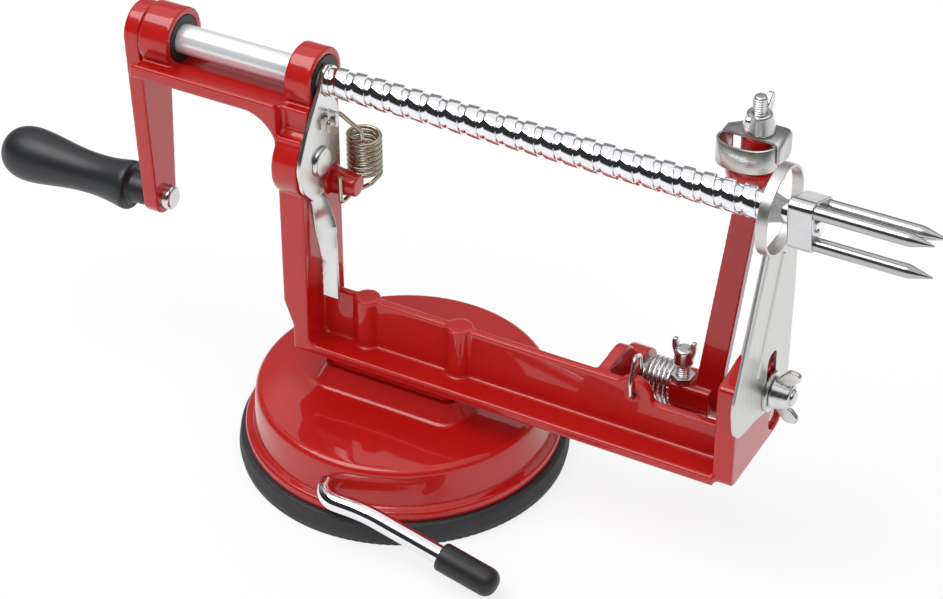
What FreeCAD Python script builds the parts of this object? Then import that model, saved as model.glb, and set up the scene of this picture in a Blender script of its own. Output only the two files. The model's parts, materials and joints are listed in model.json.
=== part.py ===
# Hand cranked apple peeler, corer and slicer on a suction base.
# Millimetres. The origin is the middle of the suction pad's underside, on the table.
# X runs along the feed shaft from the crank to the fork, Y away from the user, Z up.

import FreeCAD, Part
import math
import os
import Sketcher

Vector = FreeCAD.Vector
doc = FreeCAD.newDocument("ApplePeeler")

# Driving dimensions

DIMENSIONS = {
    # shaft line: height over the table, screw crest, plain part and turned neck
    "axis_height": 129.5,
    "crest_dia": 9.6,
    "plain_dia": 8.2,
    "neck_dia": 7.0,
    "shaft_left": -96.0,
    "screw_left": -24.0,
    "neck_taper": 3.5,
    "shaft_end_stand": 1.0,
    "running_clearance": 0.05,
    "fit_clearance": 0.02,
    # frame: body depth, rail, post and top arm
    "frame_front": -15.5,
    "frame_back": 7.5,
    "platform_bottom": 25.0,
    "boss_height": 6.0,
    "boss_left": -27.0,
    "boss_right": 28.5,
    "boss_front": -16.6,
    "boss_back": 12.0,
    "boss_corner": 8.0,
    "boss_taper": 32.0,
    "boss_blend": 2.5,
    "foot_inset": 5.0,
    "rail_bottom": 36.3,
    "rail_thickness": 3.2,
    "post_left": -34.4,
    "post_right": -25.6,
    "post_foot_left": -31.3,
    "foot_chamfer_low": 45.3,
    "foot_chamfer_high": 54.0,
    "arm_floor_drop": 8.5,
    "arm_floor_thickness": 2.5,
    "arm_lip_height": 4.4,
    "arm_lip_thickness": 2.0,
    "arm_fillet": 12.0,
    "inner_fillet": 2.5,
    "lever_boss_radius": 12.3,
    "neck_block_front": -11.5,
    "neck_block_height": 6.0,
    "ring_outer_dia": 20.0,
    "ring_bore_dia": 15.1,
    "front_ring_left": -34.4,
    "front_ring_right": -25.8,
    "rear_ring_left": -87.0,
    "rear_ring_right": -76.5,
    # frame: web along the rail with its spring lug and two screw bosses
    "web_front": -6.0,
    "web_thickness": 3.0,
    "web_top": 56.6,
    "web_step_start": 35.5,
    "web_step_end": 22.5,
    "web_low_top": 51.3,
    "spring_lug_setback": 30.5,
    "spring_lug_height": 52.8,
    "spring_lug_radius": 6.0,
    "spring_hole_dia": 2.6,
    "screw_boss_left_x": -10.0,
    "screw_boss_right_x": 23.0,
    "screw_boss_dia": 8.4,
    "base_screw_dia": 4.0,
    "base_screw_length": 26.0,
    "base_screw_head_dia": 7.5,
    "base_screw_head_height": 2.6,
    # frame: pivot bracket and end plate for the peeling arm
    "pivot_y": 18.3,
    "pivot_z": 42.0,
    "pivot_dia": 5.0,
    "bracket_setback": 44.0,
    "bracket_thickness": 4.0,
    "bracket_boss_radius": 8.7,
    "bracket_boss_length": 3.0,
    "bracket_shoulder_y": 9.0,
    "bracket_shoulder_z": 57.0,
    "end_plate_left": 113.5,
    "end_plate_thickness": 6.5,
    "end_plate_front": -14.0,
    "end_plate_back": 27.0,
    "end_plate_top_front": 72.0,
    "end_plate_top_back": 74.0,
    "end_plate_corner": 9.0,
    "end_recess_dia": 9.0,
    "end_recess_depth": 2.4,
    "slicer_seat_height": 1.0,
    "stop_lug_setback": 26.8,
    "stop_lug_width": 9.0,
    "stop_lug_back": 17.5,
    "stop_lug_drop": 2.4,
    "stop_lug_thickness": 4.5,
    # spring peg on the post
    "peg_y": 2.0,
    "peg_drop": 12.0,
    "peg_base_radius": 4.7,
    "peg_tip_radius": 3.5,
    "peg_end": -16.0,
    # suction base
    "pad_radius": 53.7,
    "pad_height": 8.0,
    "pad_membrane": 3.5,
    "cover_lip_radius": 51.3,
    "cover_lip_height": 3.5,
    "cover_wall_radius": 48.7,
    "cover_top_radius": 47.4,
    "cover_wall": 2.5,
    "cover_edge_radius": 2.5,
    "suction_lever_height": 16.0,
    "suction_rod_dia": 6.0,
    "suction_eccentric": 1.25,
    "suction_crank_dia": 4.6,
    "suction_crank_half": 6.0,
    "suction_inner_end": 17.0,
    "suction_bearing_dia": 12.0,
    "suction_bearing_inner": 9.0,
    "suction_elbow_y": -54.5,
    "suction_elbow_bend": 7.0,
    "suction_knee_x": 17.0,
    "suction_knee_bend": 40.0,
    "suction_slope": 13.6,
    "suction_arm_length": 44.5,
    "cap_dia": 9.2,
    "cap_length": 20.0,
    "cap_over": 2.5,
    "cap_round": 3.6,
    "cap_floor_gap": 0.2,
    "stud_dia": 10.0,
    "stud_top": 19.6,
    "stud_gap": 0.3,
    "stud_slot_play": 0.32,
    "stud_foot_dia": 22.0,
    "stud_foot_height": 2.5,
    # feed lever and its spring
    "lever_pivot_y": -7.0,
    "lever_pivot_drop": 25.0,
    "lever_gap": 0.3,
    "lever_thickness": 1.4,
    "lever_hole_dia": 4.2,
    "rivet_head_dia": 10.0,
    "rivet_head_height": 1.3,
    "lever_swing_room": 2.9,
    "lever_release": 10.0,
    "stem_top_drop": 11.5,
    "stem_fold_rise": 12.4,
    "stem_foot_rise": 0.6,
    "stem_width": 7.0,
    "thumb_width": 5.6,
    "tooth_gap": 0.15,
    "lug_y": -1.8,
    "lug_rise": 13.0,
    "lug_reach": 3.4,
    "lever_spring_dia": 11.2,
    "lever_spring_wire": 1.2,
    "lever_spring_turns": 7.75,
    "lever_spring_pitch": 1.85,
    "lever_spring_x": -19.8,
    "lever_spring_y": 12.2,
    "lever_spring_drop": 1.6,
    # crank and handle
    "crank_right": -87.5,
    "crank_thickness": 5.5,
    "crank_radius": 62.0,
    "crank_hub_radius": 9.0,
    "crank_tip_radius": 5.7,
    "crank_roundness": 0.97,
    "handle_bolt_dia": 6.0,
    "handle_bolt_head_dia": 10.0,
    "handle_bolt_head_height": 2.4,
    "handle_gap": 0.4,
    "handle_length": 52.0,
    "handle_flare_dia": 15.5,
    "handle_neck_dia": 13.3,
    "handle_belly_dia": 18.0,
    "handle_neck_at": 13.0,
    "handle_belly_at": 39.0,
    # fork
    "hub_stand": 7.0,
    "hub_thickness": 7.5,
    "prong_circle": 6.8,
    "prong_dia": 4.2,
    "prong_length": 42.5,
    "prong_cone": 7.0,
    "prong_point": 0.25,
    "prong_phase": 8.3,
    "hub_corner": 2.8,
    # peeling arm
    "knuckle_setback": 25.6,
    "knuckle_gap": 0.7,
    "knuckle_radius": 6.7,
    "block_setback": 12.0,
    "block_front": 9.6,
    "block_drop": 2.5,
    "block_rise": 0.2,
    "bar_front": 12.0,
    "bar_thickness": 4.2,
    "bar_low_setback": 14.5,
    "bar_high_setback": 4.5,
    "bar_width": 8.4,
    "bar_top_width": 7.6,
    "head_setback": 6.5,
    "head_y": 21.0,
    "head_radius": 9.0,
    "head_drop": 6.5,
    "head_shelf_height": 5.5,
    "head_neck_radius": 5.0,
    "head_height": 15.5,
    # peeler blade
    "blade_plate_thickness": 1.0,
    "blade_wall": 0.9,
    "band_drop": 8.5,
    "band_height": 7.0,
    "blade_stud_dia": 4.0,
    "blade_stud_rise": 12.5,
    # tension screw
    "tension_setback": 22.3,
    "tension_y": 12.9,
    "tension_dia": 4.0,
    "tension_gap": 0.3,
    "tension_collar_width": 6.8,
    "tension_collar_height": 2.4,
    "tension_length": 21.3,
    "tension_head_height": 5.5,
    "tension_wing_reach": 3.9,
    "tension_wing_height": 8.5,
    # torsion spring of the peeling arm
    "arm_spring_dia": 14.7,
    "arm_spring_wire": 1.3,
    "arm_spring_pitch": 1.75,
    "arm_spring_setback": 35.9,
    "arm_spring_turns": 5.25,
    "arm_spring_bend": 1.6,
    "arm_spring_seat": 2.5,
    # corer and slicer blade
    "slicer_thickness": 1.0,
    "corer_outer_radius": 13.7,
    "corer_wall": 0.8,
    "corer_length": 3.4,
    "slicer_bolt_y": 7.0,
    "slicer_bolt_z": 60.0,
    "slicer_bolt_dia": 5.0,
    "slicer_bolt_reach": 9.2,
    "slicer_bolt_head_dia": 10.0,
    "slicer_bolt_head_height": 2.0,
    "washer_dia": 13.0,
    "washer_thickness": 1.2,
    "slicer_seat_radius": 7.5,
    # wing nuts
    "wing_nut_height": 6.0,
    "wing_nut_hub_low": 5.2,
    "wing_nut_hub_high": 3.7,
    "wing_reach": 9.5,
    "wing_rise": 4.0,
    "wing_thickness": 1.8,
}

sheet = doc.addObject("Spreadsheet::Sheet", "Sizes")
for row, (alias, number) in enumerate(DIMENSIONS.items(), start=1):
    sheet.set(f"A{row}", alias)
    sheet.set(f"B{row}", str(number))
    sheet.setAlias(f"B{row}", alias)
doc.recompute()


class Size:
    """A number together with the expression on the sheet that gives it."""

    def __init__(self, value, text):
        self.value = value
        self.text = text

    def __add__(self, other):
        other = size(other)
        return Size(self.value + other.value, f"({self.text} + {other.text})")

    def __sub__(self, other):
        other = size(other)
        return Size(self.value - other.value, f"({self.text} - {other.text})")

    def __mul__(self, other):
        other = size(other)
        return Size(self.value * other.value, f"({self.text} * {other.text})")

    def __truediv__(self, other):
        other = size(other)
        return Size(self.value / other.value, f"({self.text} / {other.text})")

    def __radd__(self, other):
        return size(other) + self

    def __rsub__(self, other):
        return size(other) - self

    def __rmul__(self, other):
        return size(other) * self

    def __neg__(self):
        return size(0) - self


def size(number):
    """A plain number as a Size; a Size as it is."""
    if isinstance(number, Size):
        return number
    return Size(float(number), f"({float(number)!r})")


def cosine(degrees):
    degrees = size(degrees)
    return Size(math.cos(math.radians(degrees.value)), f"cos({degrees.text} * 1 deg)")


def sine(degrees):
    degrees = size(degrees)
    return Size(math.sin(math.radians(degrees.value)), f"sin({degrees.text} * 1 deg)")


class Dimensions:
    """The sheet's cells as sizes: D.axis_height and so on."""

    def __getattr__(self, alias):
        return Size(float(DIMENSIONS[alias]), f"Sizes.{alias}")


D = Dimensions()


# Places that follow from the sizes: heights first, then stations along the frame

arm_floor_bottom = D.axis_height - D.arm_floor_drop
arm_lip_top = arm_floor_bottom + D.arm_lip_height
lever_pivot_z = D.axis_height - D.lever_pivot_drop
peg_z = lever_pivot_z - D.peg_drop
lug_z = lever_pivot_z + D.lug_rise
head_bottom = D.axis_height - D.head_drop
head_shelf = head_bottom + D.head_shelf_height
head_top = head_bottom + D.head_height
band_bottom = head_top - D.band_drop
block_bottom = D.pivot_z - D.block_drop
block_top = D.pivot_z + D.knuckle_radius + D.block_rise
boss_top = D.platform_bottom + D.boss_height
stop_lug_top = D.rail_bottom - D.stop_lug_drop
tension_foot = stop_lug_top + D.tension_gap
tension_head_low = tension_foot + D.tension_length
tension_head_high = tension_head_low + D.tension_head_height

end_right = D.end_plate_left + D.end_plate_thickness
slicer_left = end_right + D.slicer_seat_height
slicer_right = slicer_left + D.slicer_thickness
neck_left = slicer_left + D.neck_taper
hub_left = slicer_left + D.hub_stand
hub_right = hub_left + D.hub_thickness
bracket_left = D.end_plate_left - D.bracket_setback
knuckle_left = D.end_plate_left - D.knuckle_setback
knuckle_right = D.end_plate_left - D.knuckle_gap
spring_lug_x = D.end_plate_left - D.spring_lug_setback
stop_lug_left = D.end_plate_left - D.stop_lug_setback
tension_x = D.end_plate_left - D.tension_setback
head_x = D.end_plate_left - D.head_setback
handle_right = D.crank_right - D.crank_thickness - D.handle_gap


def bind(thing, path, length):
    thing.setExpression(path, size(length).text)


# Sketches and features

def origin_plane(body, plane):
    for feature in body.Origin.OriginFeatures:
        if feature.Role == f"{plane}_Plane":
            return feature
    raise RuntimeError(f"{body.Label} has no {plane} plane")


class Circle:
    """A circle of a sketch, held by its centre and radius."""

    def __init__(self, x, y, radius):
        self.x = size(x)
        self.y = size(y)
        self.radius = size(radius)

    def draw(self, sketch):
        centre = Vector(self.x.value, self.y.value, 0)
        index = sketch.addGeometry(Part.Circle(centre, Vector(0, 0, 1), self.radius.value), False)
        held = [
            (Sketcher.Constraint("DistanceX", -1, 1, index, 3, self.x.value), self.x),
            (Sketcher.Constraint("DistanceY", -1, 1, index, 3, self.y.value), self.y),
            (Sketcher.Constraint("Radius", index, self.radius.value), self.radius),
        ]
        hold(sketch, held)


class Outline:
    """A closed outline of straight runs. A corner is (x, y), or (x, y, radius) where it is rounded."""

    closed = True

    def __init__(self, *corners):
        self.corners = [tuple(size(part) for part in corner) for corner in corners]

    def bend(self, i, starts, ends):
        """The arc at corner i; it moves the ends of the two runs that meet there."""
        corners = self.corners
        here, before, after = [
            Vector(corners[k % len(corners)][0].value, corners[k % len(corners)][1].value, 0)
            for k in (i, i - 1, i + 1)
        ]
        into = (here - before).normalize()
        out = (after - here).normalize()
        turn = into.x * out.y - into.y * out.x
        radius = corners[i][2].value
        reach = radius * math.tan(math.atan2(abs(turn), into.dot(out)) / 2)
        ends[i] = here - into * reach
        starts[i] = here + out * reach
        side = 1 if turn > 0 else -1
        centre = ends[i] + Vector(-into.y, into.x, 0) * (radius * side)
        first, last = (ends[i], starts[i]) if side > 0 else (starts[i], ends[i])
        angles = [math.atan2(p.y - centre.y, p.x - centre.x) for p in (first, last)]
        circle = Part.Circle(centre, Vector(0, 0, 1), radius)
        return Part.ArcOfCircle(circle, angles[0], angles[1]), side

    def draw(self, sketch):
        corners = self.corners
        count = len(corners)
        starts = [Vector(corner[0].value, corner[1].value, 0) for corner in corners]
        ends = list(starts)
        points = list(starts)
        arcs = {i: self.bend(i, starts, ends) for i in range(count) if len(corners[i]) == 3}
        runs = count if self.closed else count - 1
        lines = [
            sketch.addGeometry(Part.LineSegment(starts[i], ends[(i + 1) % count]), False)
            for i in range(runs)
        ]
        held = []
        plain = []
        for i in range(count):
            before = lines[i - 1] if self.closed or i else None
            after = lines[i] if i < runs else None
            corner = (after, 1) if after is not None else (before, 2)
            if i in arcs:
                arc, side = arcs[i]
                bend = sketch.addGeometry(arc, False)
                corner = (sketch.addGeometry(Part.Point(points[i]), True), 1)
                near, far = (1, 2) if side > 0 else (2, 1)
                plain.append(Sketcher.Constraint("Tangent", before, 2, bend, near))
                plain.append(Sketcher.Constraint("Tangent", after, 1, bend, far))
                plain.append(Sketcher.Constraint("PointOnObject", *corner, before))
                plain.append(Sketcher.Constraint("PointOnObject", *corner, after))
                radius = corners[i][2]
                held.append((Sketcher.Constraint("Radius", bend, radius.value), radius))
            elif before is not None and after is not None:
                plain.append(Sketcher.Constraint("Coincident", before, 2, after, 1))
            x, y = corners[i][0], corners[i][1]
            held.append((Sketcher.Constraint("DistanceX", -1, 1, *corner, x.value), x))
            held.append((Sketcher.Constraint("DistanceY", -1, 1, *corner, y.value), y))
        sketch.addConstraint(plain)
        hold(sketch, held)


class Route(Outline):
    """An open outline, for the middle line of a bent rod."""

    closed = False


def hold(sketch, held):
    """Add dimensions to a sketch, each bound to its size on the sheet."""
    first = sketch.ConstraintCount
    sketch.addConstraint([constraint for constraint, _ in held])
    for offset, (_, length) in enumerate(held):
        sketch.setExpression(f"Constraints[{first + offset}]", length.text)


def box_outline(left, low, right, high):
    return Outline((left, low), (right, low), (right, high), (left, high))


def sketch_on(body, plane, level, loops, origin=(0, 0)):
    """A sketch on one of the body's planes, moved to a level along world X, Y or Z."""
    sketch = body.newObject("Sketcher::SketchObject", f"{body.Label}_outline")
    sketch.AttachmentSupport = [(origin_plane(body, plane), "")]
    sketch.MapMode = "FlatFace"
    level = size(level)
    bind(sketch, "AttachmentOffset.Base.x", origin[0])
    bind(sketch, "AttachmentOffset.Base.y", origin[1])
    bind(sketch, "AttachmentOffset.Base.z", -level if plane == "XZ" else level)
    for loop in loops:
        loop.draw(sketch)
    return sketch


def new_body(name):
    body = doc.addObject("PartDesign::Body", name)
    body.Label = name
    return body


def pad(body, plane, low, high, *loops, origin=(0, 0)):
    """Material between two levels along the plane's own world axis."""
    level = high if plane == "XZ" else low
    sketch = sketch_on(body, plane, level, loops, origin)
    feature = body.newObject("PartDesign::Pad", f"{body.Label}_pad")
    feature.Profile = sketch
    bind(feature, "Length", size(high) - size(low))
    return feature


def pocket(body, plane, low, high, *loops, origin=(0, 0)):
    """Material taken away between two levels; a pocket that takes nothing stops the build."""
    doc.recompute()
    before = body.Shape.Volume
    level = low if plane == "XZ" else high
    sketch = sketch_on(body, plane, level, loops, origin)
    feature = body.newObject("PartDesign::Pocket", f"{body.Label}_pocket")
    feature.Profile = sketch
    bind(feature, "Length", size(high) - size(low))
    doc.recompute()
    if body.Shape.Volume > before - 0.01:
        raise RuntimeError(f"a pocket of {body.Label} takes nothing away")
    return feature


def turned(body, plane, axis, loop, level=0, origin=(0, 0), kind="Revolution"):
    """A full turn of an outline about the horizontal (H) or vertical (V) axis of its sketch."""
    sketch = sketch_on(body, plane, level, [loop], origin)
    feature = body.newObject(f"PartDesign::{kind}", f"{body.Label}_turned")
    feature.Profile = sketch
    feature.ReferenceAxis = (sketch, [f"{axis}_Axis"])
    feature.Angle = 360
    return feature


def chosen_edges(shape, low, high, test=None):
    """Names of the edges whose middle lies in a box, and which pass the test."""
    names = []
    for number, edge in enumerate(shape.Edges, start=1):
        middle = edge.BoundBox.Center
        inside = all(a <= v <= b for a, v, b in zip(low, middle, high))
        if inside and (test is None or test(edge)):
            names.append(f"Edge{number}")
    return names


def rounded(body, radius, low, high, test=None):
    """Round the chosen edges of the body's last feature."""
    doc.recompute()
    tip = body.Tip
    names = chosen_edges(tip.Shape, low, high, test)
    if not names:
        raise RuntimeError(f"{body.Label} has no edge to round there")
    feature = body.newObject("PartDesign::Fillet", f"{body.Label}_rounding")
    feature.Base = (tip, names)
    bind(feature, "Radius", radius)
    return feature


def place(body, x=0, y=0, z=0):
    for name, length in (("x", x), ("y", y), ("z", z)):
        bind(body, f"Placement.Base.{name}", length)


# Frame casting: one die casting that carries everything above the suction base.
# The C of flange, post and top arm is one profile; web, brackets and rings stand on it.

def frame_casting():
    body = new_body("frame_casting")
    rail_top = D.rail_bottom + D.rail_thickness
    floor_top = arm_floor_bottom + D.arm_floor_thickness
    pad(body, "XZ", D.frame_front, D.frame_back, Outline(
        (D.post_foot_left, D.rail_bottom),
        (D.end_plate_left + 1, D.rail_bottom),
        (D.end_plate_left + 1, rail_top),
        (D.post_right, rail_top, D.inner_fillet),
        (D.post_right, floor_top),
        (D.rear_ring_left, floor_top),
        (D.rear_ring_left, arm_floor_bottom),
        (D.post_left, arm_floor_bottom, D.arm_fillet),
        (D.post_left, D.foot_chamfer_high),
        (D.post_foot_left, D.foot_chamfer_low),
    ))
    # the neck under the front ring is narrower than the post
    pocket(body, "YZ", D.post_left, D.post_right + 1, box_outline(
        D.frame_front - 1, arm_floor_bottom - D.neck_block_height, D.neck_block_front, floor_top + 1))
    # round swelling of the post behind the feed lever's rivet
    pad(body, "YZ", D.post_left, D.post_right, Circle(
        D.lever_pivot_y, lever_pivot_z, D.lever_boss_radius))
    # lip along the front of the top arm
    pad(body, "XZ", D.frame_front, D.frame_front + D.arm_lip_thickness, Outline(
        (D.rear_ring_left, arm_floor_bottom),
        (D.post_left, arm_floor_bottom),
        (D.post_left, arm_lip_top, 1.5),
        (D.rear_ring_left, arm_lip_top, 1.5),
    ))
    # foot that stands on the cover's boss
    pad(body, "XY", boss_top, D.rail_bottom + 0.5, Outline(
        (D.boss_left + D.foot_inset, D.boss_front + D.foot_inset, D.boss_corner / 2),
        (D.boss_right - D.foot_inset, D.boss_front + D.foot_inset, D.boss_corner / 2),
        (D.boss_right - D.foot_inset, D.frame_back, D.boss_corner / 2),
        (D.boss_left + D.foot_inset, D.frame_back, D.boss_corner / 2),
    ))
    # web along the rail, with its raised lug for the torsion spring
    web_back = D.web_front + D.web_thickness
    pad(body, "XZ", D.web_front, web_back, Outline(
        (D.post_right - 1, D.rail_bottom + 1),
        (D.end_plate_left + 1, D.rail_bottom + 1),
        (D.end_plate_left + 1, D.web_low_top),
        (D.end_plate_left - D.web_step_end, D.web_low_top, 4),
        (D.end_plate_left - D.web_step_start, D.web_top, 3),
        (D.post_right - 1, D.web_top),
    ))
    pad(body, "XZ", D.web_front, web_back, Circle(
        spring_lug_x, D.spring_lug_height, D.spring_lug_radius))
    for boss_x in (D.screw_boss_left_x, D.screw_boss_right_x):
        pad(body, "XY", D.rail_bottom, D.web_top + 0.2, Circle(
            boss_x, web_back - D.web_thickness / 2, D.screw_boss_dia / 2))
    # bracket behind the web for the arm's pivot pin
    bracket_right = bracket_left + D.bracket_thickness
    pad(body, "YZ", bracket_left, bracket_right, Outline(
        (web_back - 1, D.rail_bottom),
        (D.pivot_y, D.pivot_z - D.bracket_boss_radius * 0.9),
        (D.pivot_y + D.bracket_boss_radius * 0.8, D.pivot_z),
        (D.bracket_shoulder_y + 3, D.bracket_shoulder_z, 7),
        (web_back - 1, D.bracket_shoulder_z - 0.6),
    ))
    pad(body, "YZ", bracket_left, bracket_right + D.bracket_boss_length, Circle(
        D.pivot_y, D.pivot_z, D.bracket_boss_radius))
    # end plate
    pad(body, "YZ", D.end_plate_left, end_right, Outline(
        (D.end_plate_front, D.rail_bottom - 0.5, 3),
        (D.end_plate_back, D.rail_bottom - 0.5, D.end_plate_corner),
        (D.end_plate_back, D.end_plate_top_back, 2),
        (-0.5, D.end_plate_top_back, 20),
        (D.end_plate_front, D.end_plate_top_front, 2),
    ))
    # raised seat for the slicer blade
    pad(body, "YZ", end_right - 1, slicer_left, Circle(
        D.slicer_bolt_y, D.slicer_bolt_z, D.slicer_seat_radius))
    # lug under the rail that stops the tension screw
    pad(body, "XZ", D.web_front, D.stop_lug_back, box_outline(
        stop_lug_left, stop_lug_top - D.stop_lug_thickness,
        stop_lug_left + D.stop_lug_width, stop_lug_top))
    pad(body, "XZ", D.web_front, D.frame_back, box_outline(
        stop_lug_left, stop_lug_top - 1,
        stop_lug_left + D.stop_lug_width, D.rail_bottom + 1))
    # bearing rings
    for left, right in (
        (D.front_ring_left, D.front_ring_right),
        (D.rear_ring_left, D.rear_ring_right),
    ):
        pad(body, "YZ", left, right, Circle(0, D.axis_height, D.ring_outer_dia / 2))
    # tapered peg for the lower hook of the feed lever's spring
    turned(body, "XZ", "H", Outline(
        (D.post_right - 1, 0),
        (D.peg_end, 0),
        (D.peg_end, D.peg_tip_radius),
        (D.post_right - 1, D.peg_base_radius),
    ), level=D.peg_y, origin=(0, peg_z))
    # bores
    pocket(body, "YZ", D.rear_ring_left - 1, D.post_right + 1, Circle(
        0, D.axis_height, D.ring_bore_dia / 2))
    pocket(body, "YZ", D.post_left - 1, D.post_right + 1, Circle(
        D.lever_pivot_y, lever_pivot_z, D.lever_hole_dia / 2 - D.running_clearance + D.fit_clearance))
    pocket(body, "YZ", bracket_left - 1, end_right + 1, Circle(
        D.pivot_y, D.pivot_z, D.pivot_dia / 2 + D.fit_clearance))
    pocket(body, "YZ", end_right - D.end_recess_depth, end_right + 1, Circle(
        D.pivot_y, D.pivot_z, D.end_recess_dia / 2))
    pocket(body, "YZ", D.end_plate_left - 1, slicer_left + 1, Circle(
        D.slicer_bolt_y, D.slicer_bolt_z, D.slicer_bolt_dia / 2 + D.fit_clearance))
    pocket(body, "XZ", D.web_front - 1, web_back + 1, Circle(
        spring_lug_x, D.spring_lug_height, D.spring_hole_dia / 2))
    for boss_x in (D.screw_boss_left_x, D.screw_boss_right_x):
        pocket(body, "XY", boss_top - 1, screw_tip() + 0.5, Circle(
            boss_x, web_back - D.web_thickness / 2, D.base_screw_dia / 2 + D.fit_clearance))


def screw_tip():
    """Height of the base screws' ends inside the round bosses."""
    return D.platform_bottom - D.cover_wall + D.base_screw_length


# Base screws: two alike, up through the cover's top into the round bosses of the frame.

def base_screws():
    body = new_body("base_screws")
    body.AllowCompound = True
    centre_y = D.web_front + D.web_thickness / 2
    cover_inside = D.platform_bottom - D.cover_wall
    for screw_x in (D.screw_boss_left_x, D.screw_boss_right_x):
        pad(body, "XY", cover_inside - D.base_screw_head_height, cover_inside, Circle(
            screw_x, centre_y, D.base_screw_head_dia / 2))
        pad(body, "XY", cover_inside, screw_tip(), Circle(
            screw_x, centre_y, D.base_screw_dia / 2))


# Suction cover: a round shell, open below, with bearings inside for the suction lever.

def suction_cover():
    body = new_body("suction_cover")
    top = D.platform_bottom
    ceiling = top - D.cover_wall
    low = D.pad_height
    turned(body, "XZ", "V", Outline(
        (0, top),
        (0, ceiling),
        (D.cover_top_radius - D.cover_wall, ceiling, 1),
        (D.cover_wall_radius - D.cover_wall, low + 1.5),
        (D.cover_wall_radius - D.cover_wall, low),
        (D.cover_lip_radius, low, 0.8),
        (D.cover_lip_radius, low + D.cover_lip_height, 1.2),
        (D.cover_wall_radius, low + D.cover_lip_height + 0.6, 0.5),
        (D.cover_top_radius, top, D.cover_edge_radius),
    ))
    # boss for the frame's foot, its sides sloping and blended into the top
    boss = pad(body, "XY", top - 0.5, boss_top, Outline(
        (D.boss_left, D.boss_front, D.boss_corner),
        (D.boss_right, D.boss_front, D.boss_corner),
        (D.boss_right, D.boss_back, D.boss_corner),
        (D.boss_left, D.boss_back, D.boss_corner),
    ))
    bind(boss, "TaperAngle", -D.boss_taper)
    rounded(body, D.boss_blend, (-40, -25, top.value - 0.1), (40, 25, top.value + 0.1),
            lambda edge: edge.BoundBox.ZLength < 0.01 and edge.BoundBox.DiagonalLength < 60)
    # hangers for the lever's shaft, in front of and behind the pull stud
    for low_y, high_y in (
        (-D.suction_bearing_inner - 4, -D.suction_bearing_inner),
        (D.suction_bearing_inner, D.suction_bearing_inner + 4),
    ):
        pad(body, "XZ", low_y, high_y, Outline(
            (-D.suction_bearing_dia / 2, D.suction_lever_height - 5, 2),
            (D.suction_bearing_dia / 2, D.suction_lever_height - 5, 2),
            (D.suction_bearing_dia / 2, ceiling + 1),
            (-D.suction_bearing_dia / 2, ceiling + 1),
        ))
    pocket(body, "XZ", -D.cover_wall_radius - 2, D.suction_inner_end, Circle(
        0, D.suction_lever_height, D.suction_rod_dia / 2 + D.running_clearance))
    for screw_x in (D.screw_boss_left_x, D.screw_boss_right_x):
        pocket(body, "XY", ceiling - 1, boss_top + 1, Circle(
            screw_x, D.web_front + D.web_thickness / 2, D.base_screw_dia / 2 + D.fit_clearance))


# Suction pad: a flat rubber disc, hollowed on top for the foot of the pull stud.

def suction_pad():
    body = new_body("suction_pad")
    socket = D.stud_foot_dia / 2 + D.stud_gap
    turned(body, "XZ", "V", Outline(
        (0, 0),
        (D.pad_radius - 0.6, 0, 0.6),
        (D.pad_radius, 3, 2),
        (D.pad_radius - 0.8, D.pad_height, 1.2),
        (socket, D.pad_height),
        (socket, D.pad_membrane),
        (0, D.pad_membrane),
    ))


# Pull stud: a foot in the pad and a stem with a slot for the lever's eccentric.

def pull_stud():
    body = new_body("pull_stud")
    foot = D.pad_membrane + D.stud_gap
    pad(body, "XY", foot, foot + D.stud_foot_height, Circle(0, 0, D.stud_foot_dia / 2))
    pad(body, "XY", foot + D.stud_foot_height, D.stud_top, Circle(0, 0, D.stud_dia / 2))
    half_width = D.suction_crank_dia / 2 + D.suction_eccentric + 0.25
    half_height = D.suction_crank_dia / 2 + D.stud_slot_play
    centre = D.suction_lever_height - D.suction_eccentric
    pocket(body, "XZ", -D.stud_dia, D.stud_dia, box_outline(
        -half_width, centre - half_height, half_width, centre + half_height))


# Suction lever: one bent rod. Its inner end is a small crank that lifts the pull stud.

def suction_lever():
    body = new_body("suction_lever")
    lever_z = D.suction_lever_height
    rod = D.suction_rod_dia / 2
    bend = D.suction_elbow_bend
    pad(body, "XZ", D.suction_crank_half, D.suction_inner_end, Circle(0, lever_z, rod))
    pad(body, "XZ", -D.suction_crank_half, D.suction_crank_half, Circle(
        0, lever_z - D.suction_eccentric, D.suction_crank_dia / 2))
    pad(body, "XZ", D.suction_elbow_y + bend, -D.suction_crank_half, Circle(0, lever_z, rod))
    # quarter turn outside the cover, then the long arm that leans down to its cap
    elbow = turned(body, "XZ", "V", Circle(-bend, 0, rod), level=D.suction_elbow_y + bend,
                   origin=(bend, lever_z))
    elbow.Angle = 90
    route = sketch_on(body, "XZ", D.suction_elbow_y, [Route(
        (bend, lever_z),
        (D.suction_knee_x, lever_z, D.suction_knee_bend),
        (D.suction_knee_x + D.suction_arm_length * cosine(D.suction_slope),
         lever_z - D.suction_arm_length * sine(D.suction_slope)),
    )])
    section = sketch_on(body, "YZ", bend, [Circle(D.suction_elbow_y, lever_z, rod)])
    arm = body.newObject("PartDesign::AdditivePipe", "suction_lever_arm")
    arm.Profile = section
    arm.Spine = route


# Lever cap: a rounded plastic sleeve pushed over the rod's end.

def lever_cap():
    body = new_body("lever_cap")
    rod = D.suction_rod_dia / 2 + D.fit_clearance
    outer = D.cap_dia / 2
    floor = D.suction_arm_length + D.cap_floor_gap
    end = D.suction_arm_length + D.cap_over
    start = end - D.cap_length
    turned(body, "XZ", "H", Outline(
        (start, rod),
        (floor, rod),
        (floor, 0),
        (end, 0),
        (end, outer, D.cap_round),
        (start, outer, 1.2),
    ))
    place(body, x=D.suction_knee_x, y=D.suction_elbow_y, z=D.suction_lever_height)
    body.Placement.Rotation = FreeCAD.Rotation(Vector(0, 1, 0), D.suction_slope.value)
    bind(body, "Placement.Rotation.Angle", D.suction_slope)


# Bushes: plain plastic linings of the two rings.

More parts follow.
